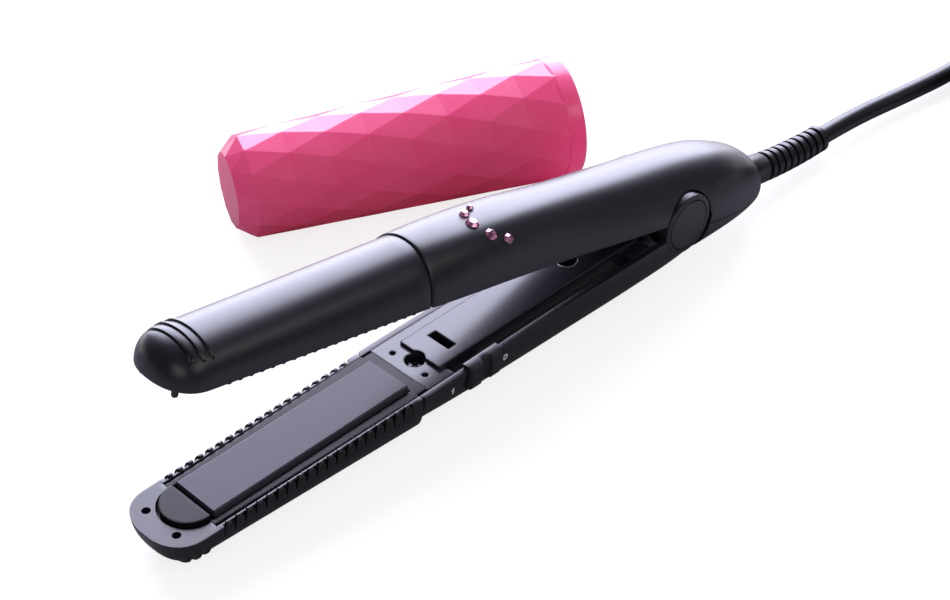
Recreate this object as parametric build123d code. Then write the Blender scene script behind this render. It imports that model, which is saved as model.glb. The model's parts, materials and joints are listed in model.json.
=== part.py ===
from build123d import *
import os
from math import cos, sin, pi, radians, degrees, tan, atan2

# Compact flat-plate styling iron, lying open on a table with its storage cap off.
# Each arm is modelled closed, in an arm frame: the hinge axis is Y through the origin,
# the two arms meet at z = 0, and the tips point along -X. The lower arm hangs below
# z = 0 and the upper arm is its mirror above. The finished model is then tilted open
# about the hinge and set down with its lowest point at z = 0. Millimetres throughout.

# ---- driving dimensions -------------------------------------------------------------
OPEN_ANGLE = 14.2        # opening between the arms, degrees
LOWER_TILT = -2.2        # the lower arm's lean when it lies on the table, degrees

PLATE_WIDTH = 15.0
PLATE_LENGTH = 65.0
PLATE_THICK = 2.4
PLATE_REAR_X = -104.4
NOSE_X = PLATE_REAR_X - PLATE_LENGTH - 6.6   # where the nose starts to round off
TIP_X = NOSE_X - 9.8    # end of the nose
RING_X = -104.0          # joint between barrel and grip
COVER_X = -100.6         # front edge of the inner covers
REAR_X = 41.0            # rear end of the main body

BARREL_HALF_TIP = PLATE_WIDTH / 2 + 3.9    # half width of the barrel at the nose
BARREL_HALF_RING = PLATE_WIDTH / 2 + 5.4   # half width of the barrel at the grip
BARREL_DEPTH_TIP = 10.7  # depth of one half barrel at the nose
BARREL_DEPTH_RING = 14.9
GRIP_HALF_FRONT = BARREL_HALF_RING + 0.3   # half width of the grip behind the barrel
GRIP_HALF_WAIST = BARREL_HALF_RING + 0.1
GRIP_HALF_HINGE = 14.3
GRIP_DEPTH_FRONT = 15.6
GRIP_DEPTH_WAIST = 17.4
GRIP_DEPTH_HINGE = 17.8
REAR_HALF = 10.6         # half width close to the rear end
REAR_DEPTH_TOP = 8.6
REAR_DEPTH_BOTTOM = 6.8
COVER_DEPTH_REAR = 12.2  # depth of the rear lower cover behind the hinge

RIM_GAP = 1.6            # each shell's rim stays this far from the mating plane
PANEL_GAP = 0.6          # each raised centre panel stays this far from it
PLATE_GAP = 0.15         # each hot plate's face stays this far from it
SHELL_WALL = 1.8
BARREL_WALL = 1.5
SEAT = 0.1               # clearance of pieces that sit inside a shell

PLATE_SIDE_GAP = 0.7
FLOAT_TRAVEL = 0.6       # how far a hot plate sinks when hair is clamped
HEATER_WIDTH = 11.0
HEATER_THICK = 2.2
PAD_THICK = 1.2
END_BLOCK_RADIUS = PLATE_WIDTH / 2 + 0.1
END_BLOCK_GAP = 0.9

TOOTH_PITCH = 3.3
TOOTH_LENGTH = 2.5
TOOTH_COUNT = int(PLATE_LENGTH / TOOTH_PITCH)
TOOTH_DEPTH = 4.4
TOOTH_PROUD = 0.4

FIN_PLACES = (NOSE_X - 4.0, NOSE_X - 1.3, NOSE_X + 1.4)
FIN_WIDTH = 0.9
FIN_PROUD = 0.5
FIN_REACH = 5.5          # the fins end this far from the mating plane

PEG_RADIUS = 0.9
PEG_REACH = 3.4          # pegs reach this far past the mating plane
PEG_X = NOSE_X - 4.3
PEG_Y = 6.0
PEG_CLEARANCE = 0.3

EAR_RADIUS = 11.0
EAR_POCKET_GAP = 0.6
EAR_INNER = 10.6         # the lower arm's ears, from this half width outwards
CHEEK_OUTER = 9.8        # the main body's cheeks between the ears
CHEEK_THICK = 2.4
CHEEK_RADIUS = 9.6
CAP_RADIUS = 7.85
CAP_THICK = 1.4
PIN_RADIUS = 2.0
PIN_CLEARANCE = 0.15
WASHER_RADIUS = 5.0
WASHER_THICK = 0.6
SPRING_WIRE = 1.1
SPRING_RADIUS = 3.4
SPRING_PITCH = 1.5
SPRING_TURNS = 5
HINGE_CLEAR_X = -EAR_RADIUS - 3.0    # the inner covers stop here, in front of the hinge
LOWER_REAR_X = 5.0       # the lower shell ends under the hinge
SPLIT_X = EAR_RADIUS + 1.2   # the rear lower cover starts here
SPLIT_Z = -2.4           # height of the seam round the rear end

PANEL_HALF = 7.5
PANEL_FRONT_X = -93.0
COVER_THICK = 1.6
GROOVE_FRONT_X = -91.0
GROOVE_REAR_X = -22.0
GROOVE_DEPTH = 2.2
SLOT_LENGTH = 3.0
SLOT_HALF = 4.05
SLOT_X = -84.7
TONGUE_GAP = 0.35
TONGUE_REACH = 1.8
WIRE_RADIUS = 0.8
WIRE_Y = GRIP_HALF_WAIST - SHELL_WALL - 3 * WIRE_RADIUS - 0.3
SWITCH_WIDTH = 4.4
SWITCH_SIDE_GAP = 1.8    # between the slide switch and the shell beside it
GUIDE_HOLE_X = -97.0
GUIDE_HOLE_Y = 6.3
GUIDE_HOLE_RADIUS = 0.9
SCREW_PLACES = (-94.8, -36.0)
SCREW_HEAD_RADIUS = 2.5
SCREW_WELL_RADIUS = 2.9
SCREW_SHANK_RADIUS = 1.2
SCREW_HEAD_DEPTH = 3.4   # top of the screw head, below the mating plane

KNOB_LENGTH = 12.3
KNOB_REAR_X = -75.6
KNOB_PROUD = 1.1
KNOB_GAP = 0.2
KNOB_DEPTH = 8.6
KNOB_TRAVEL = 3.0
STEM_LENGTH = 3.4
STEM_TOP = -5.4
STEM_THICK = 1.4
NUMERAL_X = (-92.9, -73.3)
NUMERAL_Z = -6.0
NUMERAL_HEIGHT = 2.2
NUMERAL_FILM = 0.12

BOARD_X = (-82.0, -44.0) # ends of the circuit board
BOARD_HALF = 8.5
BOARD_Z = 7.4
BOARD_THICK = 1.6
FUSE_X = -128.0
FUSE_RADIUS = 1.15
FUSE_LENGTH = 10.0

CRYSTAL_PLACES = ((-77.8, 2.3, 1.0), (-81.6, 0.6, 1.45), (-82.8, -3.6, 1.9),
                  (-80.0, -8.1, 1.7), (-74.9, -10.0, 1.5))   # x, y, radius
CRYSTAL_HEIGHT = 1.1
CRYSTAL_GLUE = 0.05

RELIEF_START_X = 34.0
RELIEF_STRAIGHT = 11.0
RELIEF_BEND = 180.0      # radius of the sag of the bend relief
RELIEF_RADIUS = 5.1
RELIEF_END_RADIUS = 4.3
RELIEF_RIBS = 14
RELIEF_PITCH = 2.4
RELIEF_RIB_WIDTH = 1.5
RELIEF_GROOVE = 1.1
RELIEF_Z = -0.5
FLANGE_RADIUS = RELIEF_RADIUS + 0.8

CORD_DIAMETER = 6.0
COIL_CENTRE = (172.0, -40.0)
COIL_RADIUS = 34.0       # middle of the turns
COIL_COLUMNS = 2
COIL_LAYERS = 3
TIE_WIDTH = 10.0
TIE_THICK = 0.8
# the free stretch of cord, measured from the hinge, z from the table
CORD_ROUTE = ((100.0, 0.6, 5.0), (124.0, -1.6, 4.1), (150.0, -5.4, 4.3), (166.0, -6.2, 4.3))
TAIL_ROUTE = ((168.0, -74.2, 4.3), (156.0, -74.6, 4.3), (140.0, -78.0, 5.6), (126.0, -83.0, 7.0),
              (114.0, -86.4, 7.0))
PLUG_NECK = 9.0
PLUG_LENGTH = 27.0
PLUG_WIDTH = 22.0
PLUG_HEIGHT = 14.0
BLADE_SPACING = 12.7
BLADE_WIDTH = 6.35
BLADE_THICK = 1.5
BLADE_LENGTH = 17.0

HOOD_LENGTH = 107.2
HOOD_END_RADIUS = 15.6
HOOD_WALL = 1.2
HOOD_CLEARANCE = 1.4     # over the closed barrels
HOOD_SIDES = 12
HOOD_BANDS = 8
HOOD_LIP = 5.0
HOOD_MOUTH = GRIP_DEPTH_FRONT + HOOD_CLEARANCE
HOOD_RADIUS = (HOOD_MOUTH + HOOD_WALL) / cos(pi / HOOD_SIDES)   # corner radius at the open end
HOOD_BEVEL = 5.0
HOOD_MIDDLE = (-32.2, 72.3)
HOOD_HEADING = 156.05    # direction of its closed end, seen from above, degrees


# ---- section tables: x, half width, depth, squareness ---------------------------------
def nose_sections():
    rows = []
    for part in (0.0, 0.30, 0.55, 0.75, 0.9, 0.98):
        x = NOSE_X + (TIP_X - NOSE_X) * part
        size = (1 - part ** 2.3) ** (1 / 2.3)
        rows.append((x, BARREL_HALF_TIP * size, BARREL_DEPTH_TIP * size, 2.1))
    return rows[::-1]


def barrel_sections():
    rows = nose_sections()
    for part in (0.25, 0.5, 0.75, 1.0):
        rows.append((NOSE_X + (RING_X - NOSE_X) * part,
                     BARREL_HALF_TIP + (BARREL_HALF_RING - BARREL_HALF_TIP) * part,
                     BARREL_DEPTH_TIP + (BARREL_DEPTH_RING - BARREL_DEPTH_TIP) * part, 2.1))
    return rows


GRIP_SECTIONS = ((RING_X, GRIP_HALF_FRONT, GRIP_DEPTH_FRONT, 2.15),
                 (-90.0, GRIP_HALF_FRONT, GRIP_DEPTH_FRONT + 0.5, 2.4),
                 (-70.0, GRIP_HALF_WAIST, GRIP_DEPTH_WAIST - 0.6, 2.65),
                 (-45.0, GRIP_HALF_WAIST + 0.2, GRIP_DEPTH_WAIST, 2.75),
                 (-20.0, GRIP_HALF_HINGE - 0.3, GRIP_DEPTH_HINGE, 2.65),
                 (0.0, GRIP_HALF_HINGE, GRIP_DEPTH_HINGE, 2.5),
                 (12.0, GRIP_HALF_HINGE, GRIP_DEPTH_HINGE - 0.6, 2.45))

REAR_SECTIONS = ((21.0, 13.9, 15.9, 2.4), (29.0, 13.0, 13.4, 2.3), (35.0, 12.0, 10.8, 2.2),
                 (39.0, REAR_HALF, REAR_DEPTH_TOP, 2.15), (REAR_X, 8.6, 6.6, 2.1))
REAR_BOTTOM = {21.0: COVER_DEPTH_REAR, 29.0: 10.6, 35.0: 8.6, 39.0: REAR_DEPTH_BOTTOM, REAR_X: 5.6}


def table_at(rows, x, column):
    for first, second in zip(rows, rows[1:]):
        if first[0] <= x <= second[0]:
            part = (x - first[0]) / (second[0] - first[0])
            return first[column] + part * (second[column] - first[column])
    return rows[0][column] if x < rows[0][0] else rows[-1][column]


def grip_half_at(x, z):
    """Half width of the grip at x and height z."""
    half, depth, square = (table_at(GRIP_SECTIONS, x, column) for column in (1, 2, 3))
    return half * (1 - (abs(z) / depth) ** square) ** (1 / square)


def grip_top_at(x, y):
    """Height of the grip's outside over the point x, y."""
    half, depth, square = (table_at(GRIP_SECTIONS, x, column) for column in (1, 2, 3))
    return depth * (1 - (abs(y) / half) ** square) ** (1 / square)


def oval_face(x, half, top, bottom, square, points=24):
    """A superellipse across the arm, with its own depth above and below z = 0."""
    ring = []
    for step in range(points):
        angle = 2 * pi * (step + 0.5) / points
        across, up = cos(angle), sin(angle)
        depth = top if up > 0 else bottom
        ring.append((x, half * abs(across) ** (2 / square) * (1 if across > 0 else -1),
                     depth * abs(up) ** (2 / square) * (1 if up > 0 else -1)))
    return Face(Wire([Edge.make_spline([Vector(*point) for point in ring], periodic=True)]))


def body_loft(rows, inset=0.0, bottoms=None):
    faces = []
    for x, half, depth, square in rows:
        bottom = depth if bottoms is None else bottoms.get(x, COVER_DEPTH_REAR)
        faces.append(oval_face(x, half - inset, depth - inset, bottom - inset, square))
    return loft(faces, ruled=True)


def block(x0, x1, y0, y1, z0, z1):
    middle = ((x0 + x1) / 2, (y0 + y1) / 2, (z0 + z1) / 2)
    return Pos(*middle) * Box(x1 - x0, y1 - y0, z1 - z0)


def post(x, y, z0, z1, radius):
    return Pos(x, y, (z0 + z1) / 2) * Cylinder(radius, z1 - z0)


def drum(y0, y1, radius, x=0.0, z=0.0):
    """A round bar along Y."""
    return Pos(x, (y0 + y1) / 2, z) * Rot(90, 0, 0) * Cylinder(radius, y1 - y0)


def upper(piece):
    """From the lower arm's frame to the upper arm's, both closed."""
    turned = [mirror(solid, about=Plane.XY) for solid in piece.solids()]
    return turned[0] if len(turned) == 1 else Compound(turned)


FAR = 60.0               # reach of cutting blocks past the body
BELOW = block(TIP_X - 5, REAR_X + 5, -FAR, FAR, -FAR, -RIM_GAP)


# ---- pieces that both arms share, built as the lower arm's --------------------------
BARREL_OUTER = body_loft(barrel_sections())
BARREL_INNER = body_loft([row for row in barrel_sections() if row[1] > 2 * BARREL_WALL + 2], BARREL_WALL)
BARREL_SEAT = body_loft([row for row in barrel_sections() if row[1] > 2 * BARREL_WALL + 2],
                        BARREL_WALL + SEAT)
GRIP_OUTER = body_loft(GRIP_SECTIONS)
GRIP_INNER = body_loft(GRIP_SECTIONS, SHELL_WALL)
GRIP_SEAT = body_loft(GRIP_SECTIONS, SHELL_WALL + SEAT)
PLATE_FRONT_X = PLATE_REAR_X - PLATE_LENGTH
BLOCK_X = PLATE_FRONT_X - 2.0
DECK_THICK = 2.4


def barrel(with_pegs):
    """Half barrel with its nose, comb teeth along both edges and the flat tip deck."""
    teeth_rows = [(x, half + TOOTH_PROUD, depth + TOOTH_PROUD, square)
                  for x, half, depth, square in barrel_sections()[-5:]]
    starts = [NOSE_X + 6.0 + TOOTH_PITCH * index for index in range(TOOTH_COUNT)]
    combs = [block(x, x + TOOTH_LENGTH, -FAR, FAR, -RIM_GAP - TOOTH_DEPTH, -RIM_GAP) for x in starts]
    fin_rows = [(x, half + FIN_PROUD, depth + FIN_PROUD, square)
                for x, half, depth, square in barrel_sections()[2:8]]
    slices = [block(x - FIN_WIDTH / 2, x + FIN_WIDTH / 2, -FAR, FAR, -FAR, -FIN_REACH)
              for x in FIN_PLACES]
    teeth = body_loft(teeth_rows) & Compound(combs)
    ridges = body_loft(fin_rows) & Compound(slices)
    deck = block(TIP_X - 1, BLOCK_X - 0.1, -FAR, FAR, -RIM_GAP - DECK_THICK, 0)
    deck -= post(BLOCK_X, 0, -FAR, 1, END_BLOCK_RADIUS + END_BLOCK_GAP)
    shell = (BARREL_OUTER & BELOW) + [*teeth.solids(), *ridges.solids()]
    shell -= BARREL_INNER - deck
    for side in (-1, 1):
        if with_pegs:
            shell += post(PEG_X, side * PEG_Y, -RIM_GAP - 0.5, PEG_REACH, PEG_RADIUS)
        else:
            shell -= post(PEG_X, side * PEG_Y, -RIM_GAP - 3, 0, PEG_RADIUS + PEG_CLEARANCE)
    return shell


ELEMENT_TOP = -PLATE_GAP - PLATE_THICK
ELEMENT_BOTTOM = ELEMENT_TOP - HEATER_THICK
PAD_BOTTOM = ELEMENT_BOTTOM - PAD_THICK
FRAME_BOTTOM = PAD_BOTTOM - 1.2
PLATE_POCKET = PLATE_WIDTH / 2 + PLATE_SIDE_GAP
HEATER_POCKET = HEATER_WIDTH / 2 + 0.5
STEP_Z = ELEMENT_TOP - FLOAT_TRAVEL - 0.4


def plate_frame():
    """Heat-proof frame that holds one floating plate, with the raised block in front of it."""
    frame = BARREL_SEAT & block(BLOCK_X, RING_X + 0.4, -FAR, FAR, FRAME_BOTTOM, -RIM_GAP)
    frame += block(RING_X, COVER_X - SEAT, -10.5, 10.5, -RIM_GAP - 2.4, -RIM_GAP)
    cap = post(BLOCK_X, 0, FRAME_BOTTOM, -PLATE_GAP - 0.2, END_BLOCK_RADIUS)
    cap &= block(BLOCK_X - 20, BLOCK_X + 0.5, -FAR, FAR, -FAR, FAR)
    frame += cap & (BARREL_SEAT + block(BLOCK_X - 20, BLOCK_X + 1, -9, 9, -RIM_GAP - 1.0, 0))
    frame -= block(BLOCK_X + 0.5, PLATE_REAR_X + 0.3, -PLATE_POCKET, PLATE_POCKET, STEP_Z, 1)
    frame -= block(BLOCK_X + 1.2, PLATE_REAR_X - 1.5, -HEATER_POCKET, HEATER_POCKET, PAD_BOTTOM, 1)
    return frame


def heater_plate():
    plate = block(PLATE_FRONT_X, PLATE_REAR_X, -PLATE_WIDTH / 2, PLATE_WIDTH / 2,
                  -PLATE_GAP - PLATE_THICK, -PLATE_GAP)
    return fillet(plate.edges().filter_by(Axis.X).group_by(Axis.Z)[-1], 0.5)


def heater_element():
    """Ceramic heater strip clamped under the plate."""
    return block(PLATE_FRONT_X + 4, PLATE_REAR_X - 5, -HEATER_WIDTH / 2, HEATER_WIDTH / 2,
                 ELEMENT_BOTTOM, ELEMENT_TOP)


def float_pads():
    """Two silicone pads that push the plate out."""
    pads = []
    for x in (PLATE_FRONT_X + 12, PLATE_REAR_X - 13):
        pads.append(block(x - 4, x + 4, -4, 4, PAD_BOTTOM, ELEMENT_BOTTOM))
    return Compound(pads)


def screw_bosses():
    """Posts inside a grip half that the cover screws bite into, with their pilot holes."""
    top = -SCREW_HEAD_DEPTH - 1.6 - 1.3
    bosses = [post(x, 0, -FAR, top, 3.2) for x in SCREW_PLACES]
    pilots = [post(x, 0, -GRIP_DEPTH_FRONT + 3, 0, SCREW_SHANK_RADIUS) for x in SCREW_PLACES]
    return bosses, pilots


def inner_cover(with_tongue, rear):
    """Lid of one grip half: raised centre panel, screw wells and a groove beside the panel."""
    base_bottom = -RIM_GAP - COVER_THICK
    cover = GRIP_SEAT & block(COVER_X, rear, -FAR, FAR, base_bottom, -RIM_GAP)
    cover += block(PANEL_FRONT_X, rear, -PANEL_HALF, PANEL_HALF, base_bottom, -PANEL_GAP)
    groove = block(GROOVE_FRONT_X, GROOVE_REAR_X, -FAR, -PANEL_HALF, base_bottom, 0)
    floor = GRIP_SEAT & block(GROOVE_FRONT_X - 1.2, GROOVE_REAR_X + 1.2, -FAR, -PANEL_HALF + 1.2,
                              base_bottom - GROOVE_DEPTH, base_bottom)
    floor -= block(GROOVE_FRONT_X, GROOVE_REAR_X, -FAR, -PANEL_HALF,
                   base_bottom - GROOVE_DEPTH + 1.2, 0)
    cover = cover - groove + floor
    well_bottom = -SCREW_HEAD_DEPTH - 1.6 - 1.2
    for x in SCREW_PLACES:
        cover += post(x, 0, well_bottom, base_bottom, SCREW_WELL_RADIUS + 1.1)
        cover -= post(x, 0, well_bottom + 1.2, 0, SCREW_WELL_RADIUS)
        cover -= post(x, 0, well_bottom, 0, SCREW_SHANK_RADIUS)
    for side in (-1, 1):
        cover -= post(GUIDE_HOLE_X, side * GUIDE_HOLE_Y, -RIM_GAP - 1.1, 0, GUIDE_HOLE_RADIUS)
    half_slot = SLOT_LENGTH / 2
    if with_tongue:
        cover += block(SLOT_X - half_slot + TONGUE_GAP, SLOT_X + half_slot - TONGUE_GAP,
                       -SLOT_HALF + TONGUE_GAP, SLOT_HALF - TONGUE_GAP, -PANEL_GAP - 1, TONGUE_REACH)
    else:
        cover -= block(SLOT_X - half_slot, SLOT_X + half_slot, -SLOT_HALF, SLOT_HALF, -FAR, 0)
    return cover


def cover_screws():
    """Two pan-head screws with cross slots."""
    screws = []
    for x in SCREW_PLACES:
        head_bottom = -SCREW_HEAD_DEPTH - 1.6
        screw = post(x, 0, head_bottom, -SCREW_HEAD_DEPTH, SCREW_HEAD_RADIUS)
        screw = fillet(screw.edges().group_by(Axis.Z)[-1], 0.7)
        for turn in (0, 90):
            screw -= Pos(x, 0, -SCREW_HEAD_DEPTH) * Rot(0, 0, turn) * Box(3.0, 0.7, 1.6)
        screws.append(screw + post(x, 0, head_bottom - 6.5, head_bottom, SCREW_SHANK_RADIUS))
    return Compound(screws)


# ---- lower arm -----------------------------------------------------------------------
def lower_arm_shell():
    """Grip half of the lower arm, with its screw bosses and the two hinge ears."""
    bosses, pilots = screw_bosses()
    solid = GRIP_OUTER & block(RING_X, LOWER_REAR_X, -FAR, FAR, -FAR, -RIM_GAP)
    solid &= block(RING_X, 0, -FAR, FAR, -FAR, FAR) + drum(-FAR, FAR, GRIP_DEPTH_HINGE - 0.2)
    shell = solid - (GRIP_INNER - bosses)
    for side in (-1, 1):
        outer = side * GRIP_HALF_HINGE
        inner = side * EAR_INNER
        shell += drum(min(inner, outer), max(inner, outer), EAR_RADIUS)
    shell -= drum(-FAR, FAR, PIN_RADIUS)
    for side in (-1, 1):
        seat = side * (GRIP_HALF_HINGE - CAP_THICK)
        shell -= drum(min(seat, side * FAR), max(seat, side * FAR), CAP_RADIUS)
    stem_room = block(KNOB_REAR_X - KNOB_LENGTH / 2 - STEM_LENGTH / 2 - KNOB_TRAVEL - 0.4,
                      KNOB_REAR_X - KNOB_LENGTH / 2 + STEM_LENGTH / 2 + 0.4,
                      -FAR, -9.0, STEM_TOP - STEM_THICK - 0.4, STEM_TOP + 0.4)
    return shell - [stem_room, *pilots]


def switch_knob():
    """Slide knob that lies against the shell's side and hooks over its rim."""
    front = KNOB_REAR_X - KNOB_LENGTH
    near = [row for row in GRIP_SECTIONS if row[0] <= -45]
    proud = body_loft([(x, half + KNOB_GAP + KNOB_PROUD, depth + KNOB_GAP + KNOB_PROUD, square)
                       for x, half, depth, square in near])
    bed = body_loft([(x, half + KNOB_GAP, depth + KNOB_GAP, square) for x, half, depth, square in near])
    knob = (proud - bed) & block(front, KNOB_REAR_X, -FAR, -6, -KNOB_DEPTH, -RIM_GAP)
    knob += proud & block(front, KNOB_REAR_X, -FAR, -11.2, -RIM_GAP + KNOB_GAP, -RIM_GAP + 1.2)
    knob += (proud - bed) & block(front, KNOB_REAR_X, -FAR, -6, -RIM_GAP, -RIM_GAP + 1.2)
    middle = KNOB_REAR_X - KNOB_LENGTH / 2
    knob -= Pos(middle, -grip_half_at(middle, -5) - KNOB_GAP - KNOB_PROUD - 0.9, 0) * Cylinder(1.6, 40)
    knob += block(middle - STEM_LENGTH / 2, middle + STEM_LENGTH / 2, -grip_half_at(middle, -6) - 0.6,
                  -9.7, STEM_TOP - STEM_THICK, STEM_TOP)
    return knob


def switch_module():
    """Slide switch behind the knob, on a bracket from the shell floor."""
    middle = KNOB_REAR_X - KNOB_LENGTH / 2
    side = SHELL_WALL + SWITCH_SIDE_GAP - GRIP_HALF_WAIST
    body = block(middle - 8, middle + 6, side, side + SWITCH_WIDTH, -9.6, -5.6)
    leg = block(middle - 5, middle + 3, side + 1, side + 3, -GRIP_DEPTH_HINGE, -9.6) & GRIP_SEAT
    return body + leg


def switch_numerals():
    """Plain 1 and 0 printed on the side of the shell."""
    near = [row for row in GRIP_SECTIONS if row[0] <= -45]
    film = body_loft([(x, half + NUMERAL_FILM, depth + NUMERAL_FILM, square)
                      for x, half, depth, square in near]) - GRIP_OUTER
    stroke = 0.42
    height = NUMERAL_HEIGHT / 2
    one = block(NUMERAL_X[0] - stroke / 2, NUMERAL_X[0] + stroke / 2, -FAR, -6,
                NUMERAL_Z - height, NUMERAL_Z + height)
    one += block(NUMERAL_X[0] - 0.75, NUMERAL_X[0], -FAR, -6, NUMERAL_Z + height - 0.75,
                 NUMERAL_Z + height - 0.35)
    ring = Plane.XZ * (Ellipse(0.85, height) - Ellipse(0.85 - stroke, height - stroke))
    zero = Pos(NUMERAL_X[1], -6, NUMERAL_Z) * extrude(ring, amount=FAR)
    return Compound([*(film & one).solids(), *(film & zero).solids()])


# ---- hinge -----------------------------------------------------------------------------
def hinge_cap(side):
    inner = GRIP_HALF_HINGE - CAP_THICK
    cap = drum(inner, GRIP_HALF_HINGE + 0.15, CAP_RADIUS - 0.12)
    cap = fillet(cap.edges().group_by(Axis.Y)[-1], 0.4)
    return cap if side > 0 else mirror(cap, about=Plane.XZ)


def hinge_pin():
    reach = GRIP_HALF_HINGE - CAP_THICK
    return drum(-reach, reach, PIN_RADIUS)


def hinge_washers():
    washers = []
    middle = (CHEEK_OUTER + EAR_INNER) / 2
    for side in (-1, 1):
        ring = drum(side * middle - WASHER_THICK / 2, side * middle + WASHER_THICK / 2, WASHER_RADIUS)
        washers.append(ring - drum(-FAR, FAR, PIN_RADIUS + PIN_CLEARANCE))
    return Compound(washers)


def torsion_spring():
    """Coil round the pin that pushes the arms apart."""
    height = SPRING_PITCH * SPRING_TURNS
    path = Pos(0, height / 2, 0) * Rot(90, 0, 0) * Helix(SPRING_PITCH, height, SPRING_RADIUS)
    start = path @ 0
    profile = Plane(origin=start, z_dir=path % 0) * Circle(SPRING_WIRE / 2)
    return sweep(profile, path=path, is_frenet=True)


# ---- main body (upper arm) -------------------------------------------------------------
MAIN_ROWS = tuple(GRIP_SECTIONS) + tuple(REAR_SECTIONS)
MAIN_OUTER = body_loft(MAIN_ROWS, 0.0, REAR_BOTTOM)
MAIN_INNER = body_loft(MAIN_ROWS[:-1] + ((REAR_X - SHELL_WALL, 9.6, 7.6, 2.1),), SHELL_WALL,
                       {**REAR_BOTTOM, REAR_X - SHELL_WALL: 6.4})
MAIN_SEAT = body_loft(REAR_SECTIONS[:-1], SHELL_WALL + SEAT, REAR_BOTTOM)
RELIEF_BORE = Pos(REAR_X, 0, RELIEF_Z) * Rot(0, 90, 0) * Cylinder(RELIEF_RADIUS + 0.1, 24)


def upper_grip_shell():
    """Top shell of the main body: grip, hinge cheeks and the upper half of the rear end."""
    region = block(RING_X, REAR_X + 1, -FAR, FAR, RIM_GAP, FAR)
    region += block(SPLIT_X, REAR_X + 1, -FAR, FAR, SPLIT_Z, RIM_GAP + 1)
    pocket = EAR_RADIUS + EAR_POCKET_GAP
    bosses, pilots = screw_bosses()
    webs, cheeks, pockets = [], [], []
    for side in (-1, 1):
        near, far = sorted((side * CHEEK_OUTER, side * (CHEEK_OUTER - CHEEK_THICK)))
        webs.append(block(-pocket - 0.4, pocket + 0.4, near, far, RIM_GAP, FAR))
        cheeks.append(drum(near, far, CHEEK_RADIUS))
        near, far = sorted((side * CHEEK_OUTER, side * FAR))
        pockets.append(drum(near, far, pocket))
    hollow = MAIN_INNER - [*webs, *(upper(piece) for piece in bosses)]
    shell = (MAIN_OUTER & region) - hollow
    shell = (shell - pockets) + cheeks
    shell -= drum(-FAR, FAR, PIN_RADIUS + PIN_CLEARANCE)
    return shell - [RELIEF_BORE, *(upper(piece) for piece in pilots)]


def rear_lower_cover():
    """Lower half of the rear end, with a front wall behind the hinge."""
    region = block(SPLIT_X, REAR_X + 1, -FAR, FAR, -FAR, SPLIT_Z)
    cover = (MAIN_OUTER - MAIN_INNER) & region
    wall = MAIN_OUTER & block(SPLIT_X, SPLIT_X + 1.6, -FAR, FAR, -FAR, SPLIT_Z)
    cover += wall
    cover -= drum(-FAR, FAR, EAR_RADIUS + EAR_POCKET_GAP)
    return cover - RELIEF_BORE


def surface_normal(x, y):
    """Outward normal of the grip's top over the point x, y."""
    step = 0.2
    slope_x = (grip_top_at(x + step, y) - grip_top_at(x - step, y)) / (2 * step)
    slope_y = (grip_top_at(x, y + step) - grip_top_at(x, y - step)) / (2 * step)
    return Vector(-slope_x, -slope_y, 1).normalized()


def crystal_frame(x, y):
    normal = surface_normal(x, y)
    return Plane(origin=(x, y, grip_top_at(x, y)), z_dir=normal)


def crystals():
    """Five cut stones glued to the top of the grip."""
    stones = []
    for x, y, radius in CRYSTAL_PLACES:
        girdle = RegularPolygon(radius, 8)
        crown = Pos(0, 0, CRYSTAL_HEIGHT) * RegularPolygon(radius * 0.55, 8)
        stone = loft([Pos(0, 0, 0.35) * girdle, crown])
        stone += extrude(Pos(0, 0, CRYSTAL_GLUE) * girdle, amount=0.35 - CRYSTAL_GLUE)
        stones.append(crystal_frame(x, y).location * stone)
    return Compound(stones)


def control_board():
    """Circuit board over the main body's lid, with its triac, capacitor and terminal block."""
    top = BOARD_Z + BOARD_THICK
    front, rear = BOARD_X
    board = block(front, rear, -BOARD_HALF, BOARD_HALF, BOARD_Z, top)
    board += block(front + 4, front + 12, -5, 3, top, top + 3.0)
    board += Pos(front + 19, 0, top + 2.2) * Cylinder(3.6, 4.4)
    board += block(rear - 12, rear - 6, -6, 6, top, top + 2.4)
    return board


def board_posts():
    """Posts on the lid that carry the board."""
    posts = Part()
    front, rear = BOARD_X
    for x in (front + 2.0, rear - 2.5):
        for y in (-6.0, 6.0):
            posts += post(x, y, RIM_GAP + COVER_THICK - 0.2, BOARD_Z, 1.5)
    return posts


def upper_inner_cover():
    cover = mirror(inner_cover(True, HINGE_CLEAR_X), about=Plane.XY)
    return cover + board_posts()


def thermal_fuse():
    """Small axial fuse lying against the upper heater's frame."""
    return Pos(FUSE_X, 0, -FRAME_BOTTOM + FUSE_RADIUS) * Rot(0, 90, 0) * Cylinder(FUSE_RADIUS, FUSE_LENGTH)


def wire_pair():
    """Two insulated leads that lie side by side under the lid."""
    leads = []
    x0, x1 = COVER_X + 0.1, HINGE_CLEAR_X - 2
    z = -RIM_GAP - COVER_THICK - WIRE_RADIUS - 0.05
    for y in (WIRE_Y, WIRE_Y + 2 * WIRE_RADIUS + 0.1):
        leads.append(Pos((x0 + x1) / 2, y, z) * Rot(0, 90, 0) * Cylinder(WIRE_RADIUS, x1 - x0))
    return Compound(leads)


# ---- bend relief, cord and plug, in table coordinates ----------------------------------
def relief_points(tilt):
    """Middle line of the bend relief: straight from the body, then sagging level."""
    start = Vector(RELIEF_START_X, 0, RELIEF_Z).rotate(Axis.Y, tilt)
    heading = Vector(1, 0, 0).rotate(Axis.Y, tilt)
    corner = start + heading * RELIEF_STRAIGHT
    length = RELIEF_BEND * radians(tilt)
    return start, heading, corner, length


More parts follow.
